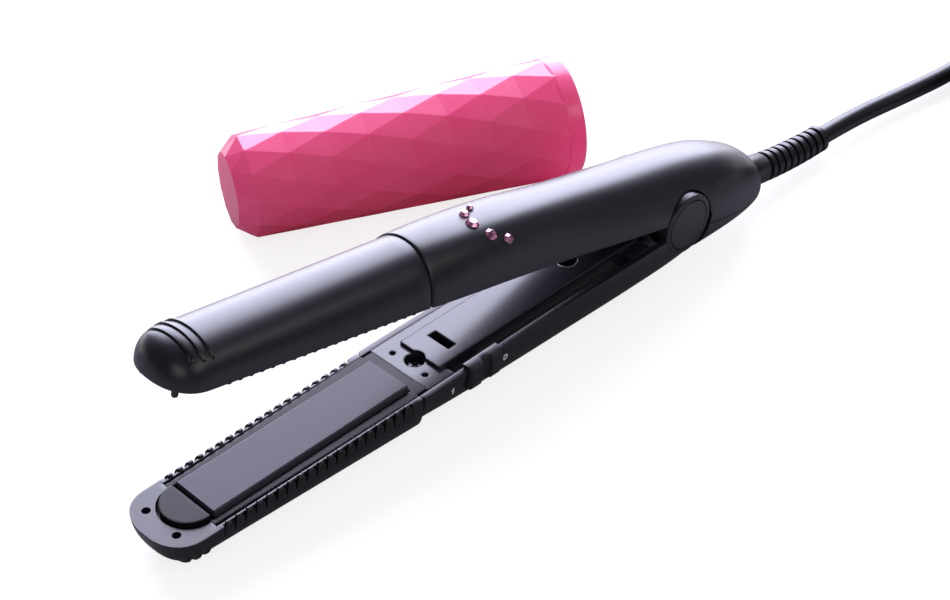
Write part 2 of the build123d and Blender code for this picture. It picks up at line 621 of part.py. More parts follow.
def relief_place(tilt, along):
    """Point and slope on the relief's middle line, along mm from its start."""
    start, heading, corner, length = relief_points(tilt)
    if along <= RELIEF_STRAIGHT:
        return start + heading * along, tilt
    swept = degrees((along - RELIEF_STRAIGHT) / RELIEF_BEND)
    slope = tilt - swept
    run = RELIEF_BEND * (sin(radians(tilt)) - sin(radians(slope)))
    drop = RELIEF_BEND * (cos(radians(slope)) - cos(radians(tilt)))
    return corner + Vector(run, 0, -drop), slope


def relief_length(tilt):
    return RELIEF_STRAIGHT + RELIEF_BEND * radians(tilt)


def relief_sleeve(tilt, places, inset):
    """Round sleeve along the relief's middle line, inset from the tops of the ribs."""
    total = relief_length(tilt)
    rings = []
    for along in places:
        point, slope = relief_place(tilt, along)
        radius = RELIEF_RADIUS + (RELIEF_END_RADIUS - RELIEF_RADIUS) * along / total - inset
        rings.append(Plane(origin=point, z_dir=Vector(1, 0, 0).rotate(Axis.Y, slope)) * Circle(radius))
    return loft(rings, ruled=True)


def bend_relief(tilt):
    """Smooth root, ribbed tail and the flange that the shells hold it by."""
    total = relief_length(tilt)
    smooth = total - RELIEF_RIBS * RELIEF_PITCH
    relief = relief_sleeve(tilt, [total * step / 7 for step in range(8)], RELIEF_GROOVE)
    relief += relief_sleeve(tilt, (0.0, RELIEF_STRAIGHT, smooth), 0.0)
    flange = Pos(RELIEF_START_X + 1.0, 0, RELIEF_Z) * Rot(0, 90, 0) * Cylinder(FLANGE_RADIUS, 2.0)
    relief += Rot(0, tilt, 0) * (flange & MAIN_SEAT)
    for index in range(RELIEF_RIBS):
        along = smooth + RELIEF_PITCH * (index + 1) - RELIEF_RIB_WIDTH / 2
        point, slope = relief_place(tilt, along)
        radius = RELIEF_RADIUS + (RELIEF_END_RADIUS - RELIEF_RADIUS) * along / total
        relief += Location(point, (0, slope, 0)) * Rot(0, 90, 0) * Cylinder(radius, RELIEF_RIB_WIDTH)
    return relief


def cord_tube(points):
    """Straight runs joined by the largest tangent arcs; prints each bend's radius."""
    points = [Vector(*point) for point in points]
    radii = []
    for before, at, after in zip(points, points[1:], points[2:]):
        turn = radians((at - before).get_angle(after - at))
        run = min((at - before).length, (after - at).length)
        radii.append(0.45 * run / tan(turn / 2))
    print("cord radii", [round(radius, 1) for radius in radii])
    path = FilletPolyline(*points, radius=radii)
    profile = Plane(origin=points[0], z_dir=points[1] - points[0]) * Circle(CORD_DIAMETER / 2)
    tube = sweep(profile, path=path)
    print("cord length", round(path.length, 1), "volume ratio",
          round(tube.volume / (pi * CORD_DIAMETER ** 2 / 4 * path.length), 4))
    return tube


COIL_HALF = COIL_COLUMNS * CORD_DIAMETER / 2
COIL_HEIGHT = COIL_LAYERS * CORD_DIAMETER


def cord_coil():
    """Outer shape of the wound cord."""
    base = TIE_THICK + 0.4
    ring = post(*COIL_CENTRE, base, base + COIL_HEIGHT, COIL_RADIUS + COIL_HALF)
    ring = fillet(ring.edges(), 2.0)
    bore = post(*COIL_CENTRE, 0, FAR, COIL_RADIUS - COIL_HALF)
    return ring - bore


def cord_tie():
    """Strap round the coil's bundle."""
    x = COIL_CENTRE[0] - COIL_RADIUS
    half = COIL_HALF + 0.7
    base = TIE_THICK + 0.2
    top = base + COIL_HEIGHT + 0.4
    y = COIL_CENTRE[1]
    strap = block(x - half - TIE_THICK, x + half + TIE_THICK, y - TIE_WIDTH / 2, y + TIE_WIDTH / 2,
                  0.1, top + TIE_THICK)
    strap = fillet(strap.edges().filter_by(Axis.Y), 1.2)
    slit = block(x - half, x + half, y - TIE_WIDTH, y + TIE_WIDTH, base, top)
    return strap - slit


def plug_place():
    end = Vector(*TAIL_ROUTE[-1])
    heading = end - Vector(*TAIL_ROUTE[-2])
    return end, Vector(heading.X, heading.Y, 0).normalized()


def plug_body():
    end, heading = plug_place()
    frame = Plane(origin=end, x_dir=heading, z_dir=(0, 0, 1))
    grip = loft([frame.location * Pos(x, 0, 0) * Rot(0, 90, 0) * Rot(0, 0, 90)
                 * RectangleRounded(width, height, 2.5)
                 for x, width, height in ((PLUG_NECK, 11, 9), (PLUG_NECK + 6, 17, 13),
                                          (PLUG_NECK + PLUG_LENGTH, PLUG_WIDTH, PLUG_HEIGHT))],
                ruled=True)
    sleeve = frame.location * Pos(PLUG_NECK / 2 + 0.5, 0, 0) * Rot(0, 90, 0) * Cylinder(4.4, PLUG_NECK + 1)
    return grip + sleeve


def plug_pins():
    end, heading = plug_place()
    frame = Plane(origin=end, x_dir=heading, z_dir=(0, 0, 1))
    blades = []
    face = PLUG_NECK + PLUG_LENGTH
    for side in (-1, 1):
        y = side * BLADE_SPACING / 2
        blade = block(face, face + BLADE_LENGTH, y - BLADE_THICK / 2, y + BLADE_THICK / 2,
                      -BLADE_WIDTH / 2, BLADE_WIDTH / 2)
        blade -= drum(y - 2, y + 2, 1.6, x=face + BLADE_LENGTH - 5.2)
        blades.append(frame.location * blade)
    return Compound(blades)


# ---- storage cap ------------------------------------------------------------------------
def facet_solid(rings):
    """Closed solid through rings of corners, each turned half a step from the last."""
    faces = []
    count = len(rings[0])
    for index, (low, high) in enumerate(zip(rings, rings[1:])):
        for step in range(count):
            after = (step + 1) % count
            if index % 2 == 0:
                corners = ((low[step], low[after], high[step]), (low[after], high[after], high[step]))
            else:
                corners = ((low[step], high[after], high[step]), (low[step], low[after], high[after]))
            faces += [Face(Wire.make_polygon(corner)) for corner in corners]
    faces.append(Face(Wire.make_polygon(rings[0])))
    faces.append(Face(Wire.make_polygon(rings[-1])))
    return Solid(Shell(faces))


def hood_corner_radius(along):
    """Corner radius of the cap, along mm from its closed end."""
    taper = HOOD_RADIUS - HOOD_END_RADIUS
    return HOOD_END_RADIUS + taper * along / (HOOD_LENGTH - HOOD_LIP)


def storage_cap():
    """Faceted cap that slides over the closed barrels; axis along X, closed end at x = 0."""
    rings = []
    places = [(0.0, HOOD_END_RADIUS - 4.0)]
    for band in range(HOOD_BANDS + 1):
        along = HOOD_BEVEL + (HOOD_LENGTH - HOOD_LIP - HOOD_BEVEL) * band / HOOD_BANDS
        places.append((along, hood_corner_radius(along)))
    for index, (along, radius) in enumerate(places):
        turn = 0.5 * (index % 2)
        rings.append([Vector(along, radius * cos(2 * pi * (step + turn) / HOOD_SIDES),
                             radius * sin(2 * pi * (step + turn) / HOOD_SIDES))
                      for step in range(HOOD_SIDES)])
    outer = facet_solid(rings)
    lip = Pos(HOOD_LENGTH - HOOD_LIP / 2 - 0.5, 0, 0) * Rot(0, 90, 0) * Cylinder(HOOD_RADIUS - 0.1,
                                                                                  HOOD_LIP + 1)
    outer += fillet(lip.edges(), 1.0)
    bottom = HOOD_END_RADIUS * cos(pi / HOOD_SIDES) - HOOD_WALL
    hollow = HOOD_LENGTH - HOOD_BEVEL + 0.2
    cone = Pos(HOOD_LENGTH - hollow / 2, 0, 0) * Rot(0, 90, 0) * Cone(bottom, HOOD_MOUTH, hollow)
    return outer - cone


def hood_on_table(cap):
    """Lay the cap down on its side: its lowest line touches the table."""
    slope = degrees(atan2(HOOD_RADIUS - HOOD_END_RADIUS, HOOD_LENGTH - HOOD_LIP))
    laid = Rot(0, 0, HOOD_HEADING + 180) * Rot(0, -slope, 0) * Pos(-HOOD_LENGTH / 2, 0, 0) * cap
    low = laid.bounding_box().min.Z
    return Pos(HOOD_MIDDLE[0], HOOD_MIDDLE[1], -low) * laid


# ---- assembly ---------------------------------------------------------------------------
MAIN_TILT = OPEN_ANGLE + LOWER_TILT
lower_place = Rot(0, LOWER_TILT, 0)
main_place = Rot(0, MAIN_TILT, 0)

lower_pieces = {
    "lower_barrel": barrel(with_pegs=False),
    "lower_plate_frame": plate_frame(),
    "lower_float_pads": float_pads(),
    "lower_heater_plate": heater_plate(),
    "lower_heater_element": heater_element(),
    "lower_arm_shell": lower_arm_shell(),
    "lower_inner_cover": inner_cover(False, HINGE_CLEAR_X),
    "lower_screws": cover_screws(),
    "lower_wires": wire_pair(),
    "switch_knob": switch_knob(),
    "switch_module": switch_module(),
    "switch_numerals": switch_numerals(),
    "hinge_cap_near": hinge_cap(-1),
    "hinge_cap_far": hinge_cap(1),
    "hinge_pin": hinge_pin(),
}
main_pieces = {
    "upper_barrel": upper(barrel(with_pegs=True)),
    "upper_plate_frame": upper(plate_frame()),
    "upper_float_pads": upper(float_pads()),
    "upper_heater_plate": upper(heater_plate()),
    "upper_heater_element": upper(heater_element()),
    "upper_grip_shell": upper_grip_shell(),
    "upper_inner_cover": upper_inner_cover(),
    "upper_screws": upper(cover_screws()),
    "upper_wires": upper(wire_pair()),
    "rear_lower_cover": rear_lower_cover(),
    "crystals": crystals(),
    "control_board": control_board(),
    "thermal_fuse": thermal_fuse(),
    "hinge_washers": hinge_washers(),
    "torsion_spring": torsion_spring(),
}
pieces = {name: lower_place * piece for name, piece in lower_pieces.items()}
pieces.update({name: main_place * piece for name, piece in main_pieces.items()})
pieces["bend_relief"] = bend_relief(MAIN_TILT)

lowest = min(pieces[name].bounding_box().min.Z for name in ("lower_arm_shell", "lower_barrel"))
pieces = {name: Pos(0, 0, -lowest) * piece for name, piece in pieces.items()}
pieces["storage_cap"] = hood_on_table(storage_cap())

boxes = [piece.bounding_box() for piece in pieces.values()]
middle_x = (min(box.min.X for box in boxes) + max(box.max.X for box in boxes)) / 2
middle_y = (min(box.min.Y for box in boxes) + max(box.max.Y for box in boxes)) / 2

relief_end = relief_place(MAIN_TILT, relief_length(MAIN_TILT))[0] + Vector(0, 0, -lowest)
route_start = (relief_end.X, relief_end.Y, relief_end.Z)
pieces["mains_cord"] = cord_tube((route_start,) + CORD_ROUTE)
pieces["cord_tail"] = cord_tube(TAIL_ROUTE)
pieces["cord_coil"] = cord_coil()
pieces["cord_tie"] = cord_tie()
pieces["plug_body"] = plug_body()
pieces["plug_pins"] = plug_pins()

os.makedirs("parts", exist_ok=True)
for name, piece in pieces.items():
    placed = Pos(-middle_x, -middle_y, 0) * piece
    export_step(placed, f"parts/{name}.step")
print("hinge axis x", round(-middle_x, 4), "y", round(-middle_y, 4), "z", round(-lowest, 4))
print("relief end", [round(value, 3) for value in route_start])
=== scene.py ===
import json
from collections import namedtuple
from math import asin, atan2, cos, pi, radians, sin

import bpy
import bmesh
from mathutils import Matrix, Vector


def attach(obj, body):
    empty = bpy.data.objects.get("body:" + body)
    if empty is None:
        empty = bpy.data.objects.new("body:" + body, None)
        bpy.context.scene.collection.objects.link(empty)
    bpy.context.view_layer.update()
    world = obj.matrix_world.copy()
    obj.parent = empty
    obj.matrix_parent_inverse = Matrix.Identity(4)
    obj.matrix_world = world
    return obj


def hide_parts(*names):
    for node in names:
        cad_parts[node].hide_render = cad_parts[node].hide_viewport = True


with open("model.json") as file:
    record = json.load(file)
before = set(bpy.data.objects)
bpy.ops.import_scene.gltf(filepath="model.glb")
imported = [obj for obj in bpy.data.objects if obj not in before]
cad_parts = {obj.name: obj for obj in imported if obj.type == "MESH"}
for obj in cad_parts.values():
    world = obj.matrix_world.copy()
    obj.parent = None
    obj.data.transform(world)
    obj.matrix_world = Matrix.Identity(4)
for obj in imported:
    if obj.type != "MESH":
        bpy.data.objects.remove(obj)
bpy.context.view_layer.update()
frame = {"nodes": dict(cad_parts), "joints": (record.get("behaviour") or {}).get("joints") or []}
nodes = frame["nodes"]

# A compact two-way flat iron, lying open beside its storage cap. Shapes are drawn in
# millimetres in the frame of the closed arms: the hinge axis is Y through the origin, the
# tips point along -X, the lower arm hangs below z = 0. One matrix then places each arm.

MM = 0.001
LOWER_TILT = radians(-2.2)
MAIN_TILT = radians(12.0)
hinge = Vector(next(joint for joint in frame["joints"] if joint["name"] == "arm_hinge")["pos_m"])
table = Matrix.Translation((hinge.x, hinge.y, 0.0)) @ Matrix.Scale(MM, 4)
level = Matrix.Translation(hinge) @ Matrix.Scale(MM, 4)
lower_arm = level @ Matrix.Rotation(LOWER_TILT, 4, "Y")
main_body = level @ Matrix.Rotation(MAIN_TILT, 4, "Y")


# ---- small tools --------------------------------------------------------------------
def new_object(name, data):
    made = bpy.data.objects.new(name, data)
    bpy.context.scene.collection.objects.link(made)
    return made


def drop(*pieces):
    for piece in pieces:
        bpy.data.objects.remove(piece)


def linear_colour(code):
    """An sRGB hex code as a linear colour."""
    parts = [int(code[index:index + 2], 16) / 255 for index in (0, 2, 4)]
    return tuple(part / 12.92 if part <= 0.04045 else ((part + 0.055) / 1.055) ** 2.4
                 for part in parts) + (1.0,)


def add(tree, kind, values=None, links=None, **settings):
    """Add one node with its settings, fixed inputs and links."""
    made = tree.nodes.new(kind)
    for key, value in settings.items():
        setattr(made, key, value)
    for key, value in (values or {}).items():
        made.inputs[key].default_value = value
    for key, source in (links or {}).items():
        tree.links.new(source, made.inputs[key])
    return made


def new_material(name):
    material = bpy.data.materials.new(name)
    material.use_nodes = True
    tree = material.node_tree
    tree.nodes.clear()
    return material, tree


# ---- camera -------------------------------------------------------------------------
CAMERA_FROM_HINGE = Vector((-393.707, -314.299, 350.687)) * MM
CAMERA_RIGHT = (0.70951261, -0.70443065, 0.0192176)
CAMERA_UP = (0.42025188, 0.44485968, 0.79087814)
CAMERA_BACK = (-0.56566794, -0.55306178, 0.61167185)
CAMERA_LENS = 79.70
SENSOR_WIDTH = 36.0

camera_data = bpy.data.cameras.new("camera")
camera_data.sensor_width = SENSOR_WIDTH
camera_data.lens = CAMERA_LENS
camera_data.clip_start = 10 * MM
camera = new_object("camera", camera_data)
turn = Matrix((CAMERA_RIGHT, CAMERA_UP, CAMERA_BACK)).transposed().to_4x4()
camera.matrix_world = Matrix.Translation(hinge + CAMERA_FROM_HINGE) @ turn
bpy.context.scene.camera = camera


# ---- finishes -----------------------------------------------------------------------
DRIFT_MM = 14.0          # size of the slow clouds in a moulded colour
DRIFT = 0.12             # how far the clouds lighten and darken it
GLOSS_DRIFT = 0.06       # how far the grain changes the roughness


def moulded(name, colour, roughness, grain_mm, relief_mm, metallic=0.0, specular=0.5, edge_mm=0.0):
    """A moulded or coated finish: fine grain in bump and gloss, and slow colour drift."""
    material, tree = new_material(name)
    place = add(tree, "ShaderNodeTexCoord")
    fine = add(tree, "ShaderNodeTexNoise", {"Scale": 1.0 / (grain_mm * MM), "Detail": 3.0},
               {"Vector": place.outputs["Object"]})
    slow = add(tree, "ShaderNodeTexNoise", {"Scale": 1.0 / (DRIFT_MM * MM), "Detail": 2.0},
               {"Vector": place.outputs["Object"]})
    base = linear_colour(colour)[:3]
    pale = tuple(min(1.0, part * (1.0 + DRIFT)) for part in base) + (1.0,)
    dark = tuple(part * (1.0 - DRIFT) for part in base) + (1.0,)
    drift = add(tree, "ShaderNodeMix", {6: dark, 7: pale}, {0: slow.outputs["Fac"]},
                data_type="RGBA")
    gloss = add(tree, "ShaderNodeMapRange",
                {"From Min": 0.3, "From Max": 0.7, "To Min": roughness * (1.0 - GLOSS_DRIFT),
                 "To Max": roughness * (1.0 + GLOSS_DRIFT)},
                {"Value": fine.outputs["Fac"]})
    bump = add(tree, "ShaderNodeBump", {"Strength": 0.5, "Distance": relief_mm * MM},
               {"Height": fine.outputs["Fac"]})
    if edge_mm:
        edge = add(tree, "ShaderNodeBevel", {"Radius": edge_mm * MM}, samples=4)
        tree.links.new(edge.outputs["Normal"], bump.inputs["Normal"])
    shader = add(tree, "ShaderNodeBsdfPrincipled",
                 {"Metallic": metallic, "Specular IOR Level": specular},
                 {"Base Color": drift.outputs[2], "Roughness": gloss.outputs["Result"],
                  "Normal": bump.outputs["Normal"]})
    add(tree, "ShaderNodeOutputMaterial", links={"Surface": shader.outputs["BSDF"]})
    return material


# Each row below gives colour, roughness, then the size and height of the grain in millimetres.
# Satin moulded ABS: an even charcoal with a wide soft highlight.
shell_abs = moulded("satin moulded ABS", "1b1a20", 0.36, 0.35, 0.010)
# Silicone-coated aluminium barrel: the same charcoal, a little smoother.
barrel_coat = moulded("satin coated aluminium", "1c1b22", 0.35, 0.35, 0.010)
# Moulded nylon comb: nearly black.
comb_nylon = moulded("matte moulded nylon", "121214", 0.34, 0.4, 0.010)
# Semi-gloss ABS lid: black, mirrors the light at a low angle.
lid_abs = moulded("semi-gloss moulded ABS", "1d1c24", 0.22, 0.5, 0.004, edge_mm=0.8)
# Heat-proof PPS frame: black, with little shine.
frame_pps = moulded("moulded PPS", "121216", 0.36, 0.4, 0.006, edge_mm=0.8, specular=0.16)
# Ceramic coating on aluminium: dark violet grey, smooth, with a weak reflection.
plate_ceramic = moulded("ceramic coated aluminium", "3a3740", 0.24, 0.25, 0.002, specular=0.17)
# Satin black ABS: a little smoother than the shell, with a broad shine.
knob_abs = moulded("satin black ABS", "1c1b20", 0.34, 0.4, 0.008, edge_mm=0.3)
# Pad-printed ink: opaque white, nearly matte.
print_white = moulded("white pad print", "e9e8ee", 0.5, 0.3, 0.002)
# Black zinc on steel screws: dark with a metal glint.
zinc_steel = moulded("black zinc plated steel", "4c4b52", 0.36, 0.3, 0.006, metallic=1.0)
# Drawn steel of spring and washers: grey with a soft metal gleam.
plain_steel = moulded("drawn steel", "b9babd", 0.3, 0.3, 0.004, metallic=1.0)
# Soft black PVC of the cord: dull with a slight skin.
cord_pvc = moulded("extruded PVC", "141417", 0.42, 0.6, 0.02)
# Stamped brass: warm yellow metal with a clear shine.
blade_brass = moulded("stamped brass", "c9a860", 0.28, 0.4, 0.004, metallic=1.0)
# Solder mask over glass fibre: glossy dark green.
board_mask = moulded("solder mask on glass fibre", "12452a", 0.3, 1.2, 0.01)
# Silicone rubber of leads and pads: dull brick red.
lead_silicone = moulded("red silicone rubber", "a52a20", 0.5, 0.5, 0.01)
# Fired alumina: chalky off-white.
heater_alumina = moulded("fired alumina", "d8d4c6", 0.6, 0.4, 0.01)
# Woven hook tape: black and rough, without shine.
tie_tape = moulded("woven hook tape", "17171a", 0.8, 0.5, 0.08)

TINT_CLOUD_MM = 22.0
TINT_EDGE_MM = 0.5
THROUGH = 0.42           # share of the light that comes through the cap's wall
# size of the cells of painted glints and painted shade on the crystals
GLINT_CELL_MM = 0.9


def tinted_plastic():
    """Injection moulded tinted SAN: light comes through the thin wall pink, under a clear gloss."""
    material, tree = new_material("pink tinted SAN")
    place = add(tree, "ShaderNodeTexCoord")
    cloud = add(tree, "ShaderNodeTexNoise", {"Scale": 1.0 / (TINT_CLOUD_MM * MM), "Detail": 2.0},
                {"Vector": place.outputs["Object"]})
    tint = add(tree, "ShaderNodeMix", {6: linear_colour("e5588d"), 7: linear_colour("f27ba9")},
               {0: cloud.outputs["Fac"]}, data_type="RGBA")
    edge = add(tree, "ShaderNodeBevel", {"Radius": TINT_EDGE_MM * MM}, samples=4)
    shader = add(tree, "ShaderNodeBsdfPrincipled",
                 {"Roughness": 0.25, "Specular IOR Level": 0.35, "Coat Weight": 0.6,
                  "Coat Roughness": 0.22},
                 {"Base Color": tint.outputs[2], "Normal": edge.outputs["Normal"]})
    through = add(tree, "ShaderNodeBsdfTranslucent", {"Color": linear_colour("fb86b4")})
    wall = add(tree, "ShaderNodeMixShader", {0: THROUGH},
               {1: shader.outputs[0], 2: through.outputs[0]})
    add(tree, "ShaderNodeOutputMaterial", links={"Surface": wall.outputs[0]})
    return material


def painted_glint_glass():
    """Cut glass over a pink foil, with painted glints and painted shade: cells painted pale pink beside
    cells painted dark, in place of light off the facets.
    """
    material, tree = new_material("cut glass with painted glints")
    place = add(tree, "ShaderNodeTexCoord")
    cells = add(tree, "ShaderNodeTexVoronoi", {"Scale": 1.0 / (GLINT_CELL_MM * MM)},
                {"Vector": place.outputs["Object"]})
    # painted glints and painted shade: each cell is painted somewhere between dark and pale pink
    painted_glints = add(tree, "ShaderNodeMix", {6: linear_colour("4a1230"), 7: linear_colour("ffb0d6")},
               {0: cells.outputs["Color"]}, data_type="RGBA")
    shader = add(tree, "ShaderNodeBsdfPrincipled",
                 {"Roughness": 0.08, "Metallic": 0.6, "Coat Weight": 1.0, "Coat Roughness": 0.02},
                 {"Base Color": painted_glints.outputs[2]})
    add(tree, "ShaderNodeOutputMaterial", links={"Surface": shader.outputs["BSDF"]})
    return material


cap_san = tinted_plastic()
crystal_glass = painted_glint_glass()


# ---- mesh tools ---------------------------------------------------------------------
SMOOTH_LIMIT = radians(32)
BEVEL_LIMIT = radians(40)
MERGE_MM = 0.0005


def mesh_object(name, points, faces):
    """A mesh with its doubles merged and its faces turned outwards."""
    mesh = bpy.data.meshes.new(name)
    mesh.from_pydata([tuple(point) for point in points], [], faces)
    made = new_object(name, mesh)
    merged = bmesh.new()
    merged.from_mesh(mesh)
    bmesh.ops.remove_doubles(merged, verts=merged.verts, dist=MERGE_MM)
    bmesh.ops.recalc_face_normals(merged, faces=merged.faces)
    merged.to_mesh(mesh)
    merged.free()
    return made


def joined(name, pieces):
    """One piece out of several, which are used up."""
    whole = bmesh.new()
    for piece in pieces:
        whole.from_mesh(piece.data)
    drop(*pieces)
    made = new_object(name, bpy.data.meshes.new(name))
    whole.to_mesh(made.data)
    whole.free()
    return made


def apply_modifiers(piece):
    """Turn the evaluated result into a plain mesh and drop the modifiers."""
    bpy.context.view_layer.update()
    graph = bpy.context.evaluated_depsgraph_get()
    mesh = bpy.data.meshes.new_from_object(piece.evaluated_get(graph))
    piece.modifiers.clear()
    piece.data = mesh
    return piece


def bevelled(piece, width, segments):
    bevel = piece.modifiers.new("rounded edges", "BEVEL")
    bevel.width = width
    bevel.segments = segments
    bevel.limit_method = "ANGLE"
    bevel.angle_limit = BEVEL_LIMIT
    bevel.use_clamp_overlap = True
    return apply_modifiers(piece)


def cut(piece, tool):
    boolean = piece.modifiers.new("cut", "BOOLEAN")
    boolean.operation = "DIFFERENCE"
    boolean.solver = "EXACT"
    boolean.object = tool
    apply_modifiers(piece)
    drop(tool)
    return piece


def ring_faces(rows, sides):
    """Faces between rings of points that follow each other."""
    faces = []
    for row in range(rows - 1):
        for step in range(sides):
            here, after = row * sides + step, row * sides + (step + 1) % sides
            faces.append((here, after, after + sides, here + sides))
    return faces


def skin(name, rings):
    """Closed solid through equal rings of points, with one flat face at each end."""
    points = [point for ring in rings for point in ring]
    sides = len(rings[0])
    ends = [tuple(range(sides)), tuple(range(len(points) - sides, len(points)))]
    return mesh_object(name, points, ring_faces(len(rings), sides) + ends)


def wall_skin(name, loops):
    """Closed wall through loops that run out along the outside and back along the inside."""
    size = len(loops[0])
    faces = ring_faces(len(loops), size)
    for base in (0, (len(loops) - 1) * size):
        for step in range(size // 2 - 1):
            here, across = base + step, base + size - 1 - step
            faces.append((here, here + 1, across - 1, across))
    return mesh_object(name, [point for loop in loops for point in loop], faces)


def turned(name, profile, sides, place=(0, 0, 0), axis="Y"):
    """Solid of revolution: profile is (along, radius) from end to end."""
    rings = []
    for along, radius in profile:
        ring = []
        for step in range(sides):
            angle = 2 * pi * step / sides
            across, up = radius * cos(angle), radius * sin(angle)
            offsets = {"X": (along, across, up), "Y": (across, along, up), "Z": (across, up, along)}
            ring.append(Vector(place) + Vector(offsets[axis]))
        rings.append(ring)
    return skin(name, rings)


def bore(ends, radius, sides, place=(0, 0, 0), axis="Y"):
    """A plain round cutting tool."""
    return turned("bore", [(end, radius) for end in ends], sides, place, axis)


def settle(piece, matrix, material, body, slot, *replaced):
    """Put a finished piece in its place, give it its finish and let it ride on its body."""
    piece.data.transform(matrix)
    if matrix.determinant() < 0:
        piece.data.flip_normals()
    piece.data.materials.clear()
    piece.data.materials.append(material)
    piece.data.shade_smooth()
    piece.data.set_sharp_from_angle(angle=SMOOTH_LIMIT)
    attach(piece, body)
    if replaced:
        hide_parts(*replaced)
    return piece


# ---- sections -----------------------------------------------------------------------
PLATE_WIDTH = 15.0
PLATE_LENGTH = 65.0
PLATE_REAR = -104.4
NOSE = PLATE_REAR - PLATE_LENGTH - 6.6
NOSE_LENGTH = 9.8
NOSE_POWER = 2.3
RING = -104.0            # where the barrels meet the grip
RIM = 1.6                # the arms' edges stay this far from the mating plane
SHELL_WALL = 1.8
BARREL_WALL = 1.5
# rounding of the edges
BARREL_ROUND = 0.45
GRIP_ROUND = 0.4
COVER_ROUND = 0.25
KNOB_EDGE = 0.3
SPLIT = 10.8             # behind this the main body is closed by its rear cover
SPLIT_HEIGHT = -2.4
REAR = 41.0
LOWER_END = 5.0
SEAT = PLATE_REAR - PLATE_LENGTH - 2.0       # middle of the round seat behind each nose
SEAT_RADIUS = PLATE_WIDTH / 2 + 1.0
SEAT_DEPTH = 3.2
ARC_POINTS = 44
BORE_SIDES = 64
WALL_STEP = 0.1          # a solid end becomes a wall over this length
SOLID_EDGE = 0.96        # a solid half's flat face has points out to this share of its width

# nose: x of the nose line. tip, ring: half width and depth there. square and rim: the
# section's squareness and the height of its edge, first at the tip, then at the ring.
Barrel = namedtuple("Barrel", "nose tip ring square rim")
LOWER_BARREL = Barrel(NOSE, (12.1, 11.9), (12.9, 15.3), (2.6, 3.2), (-RIM, -RIM))
UPPER_BARREL = Barrel(NOSE + 2.0, (11.7, 9.5), (12.9, 14.9), (2.1, 2.1), (-0.7, 1.5))

# rows of x, half width, top, bottom and squareness: the lower grip, the upper half, which
# has a lower and rounder crown, and the rear end
GRIP = ((-104.0, 13.2, 15.6, 15.6, 2.15), (-90.0, 13.2, 16.1, 16.1, 2.4),
        (-70.0, 13.0, 16.8, 16.8, 2.65), (-45.0, 13.2, 17.4, 17.4, 2.75),
        (-20.0, 14.0, 17.8, 17.8, 2.65), (0.0, 14.3, 17.8, 17.8, 2.5), (12.0, 14.3, 17.2, 14.8, 2.45))
CROWN = ((-104.0, 13.2, 15.3, 15.6, 2.15), (-90.0, 13.2, 16.1, 16.1, 2.4),
         (-70.0, 13.0, 16.5, 16.8, 2.6), (-45.0, 13.2, 15.9, 17.4, 2.35),
         (-20.0, 14.0, 15.6, 17.8, 2.25), (0.0, 14.3, 15.6, 17.8, 2.25), (12.0, 14.3, 15.1, 14.8, 2.35))
REAR_END = ((21.0, 13.9, 14.2, 12.2, 2.4), (29.0, 13.0, 12.6, 10.6, 2.3),
            (35.0, 12.0, 10.9, 8.6, 2.2), (39.0, 10.6, 8.8, 6.8, 2.15), (41.0, 8.6, 6.8, 5.6, 2.1))
BODY = CROWN + REAR_END


def section_at(rows, x):
    """Half width, top, bottom and squareness at x, on a smooth curve through the table."""
    last = len(rows) - 1
    index = max(place for place in range(last) if rows[place][0] <= x or place == 0)
    before, at = rows[max(index - 1, 0)], rows[index]
    after, beyond = rows[index + 1], rows[min(index + 2, last)]
    run = after[0] - at[0]
    part = min(max((x - at[0]) / run, 0.0), 1.0)
    values = []
    for column in range(1, 5):
        slope_in = (after[column] - before[column]) / (after[0] - before[0]) * run
        slope_out = (beyond[column] - at[column]) / (beyond[0] - at[0]) * run
        square, cube = part * part, part ** 3
        values.append((2 * cube - 3 * square + 1) * at[column] + (cube - 2 * square + part) * slope_in
                      + (3 * square - 2 * cube) * after[column] + (cube - square) * slope_out)
    return tuple(values)


def shrunk(section, amount):
    half, top, bottom, square = section
    return half - amount, top - amount, bottom - amount, square


def signed_power(value, power):
    return abs(value) ** power * (1 if value > 0 else -1)


def angle_at(height, top, bottom, square):
    if height >= 0:
        return asin(min(1.0, height / top) ** (square / 2))
    return -asin(min(1.0, -height / bottom) ** (square / 2))


def arc(x, section, rim, upwards):
    """The part of a superellipse section above or below the rim's height, from +Y to -Y."""
    half, top, bottom, square = section
    start = angle_at(rim, top, bottom, square)
    sweep = pi - 2 * start if upwards else -pi - 2 * start
    points = []
    for step in range(ARC_POINTS):
        angle = start + sweep * step / (ARC_POINTS - 1)
        across, up = cos(angle), sin(angle)
        points.append(Vector((x, half * signed_power(across, 2 / square),
                              (top if up > 0 else bottom) * signed_power(up, 2 / square))))
    return points


def half_loop(x, section, rim, upwards, wall):
    """Outside arc and back along the inside; a wall of None makes a solid half."""
    outside = arc(x, section, rim, upwards)
    if wall is None:
        edge = outside[0].y * SOLID_EDGE
        inside = [Vector((x, edge * (1 - 2 * step / (ARC_POINTS - 1)), rim))
                  for step in range(ARC_POINTS)]
    else:
        inside = arc(x, shrunk(section, wall), rim, upwards)
    return outside + inside[::-1]


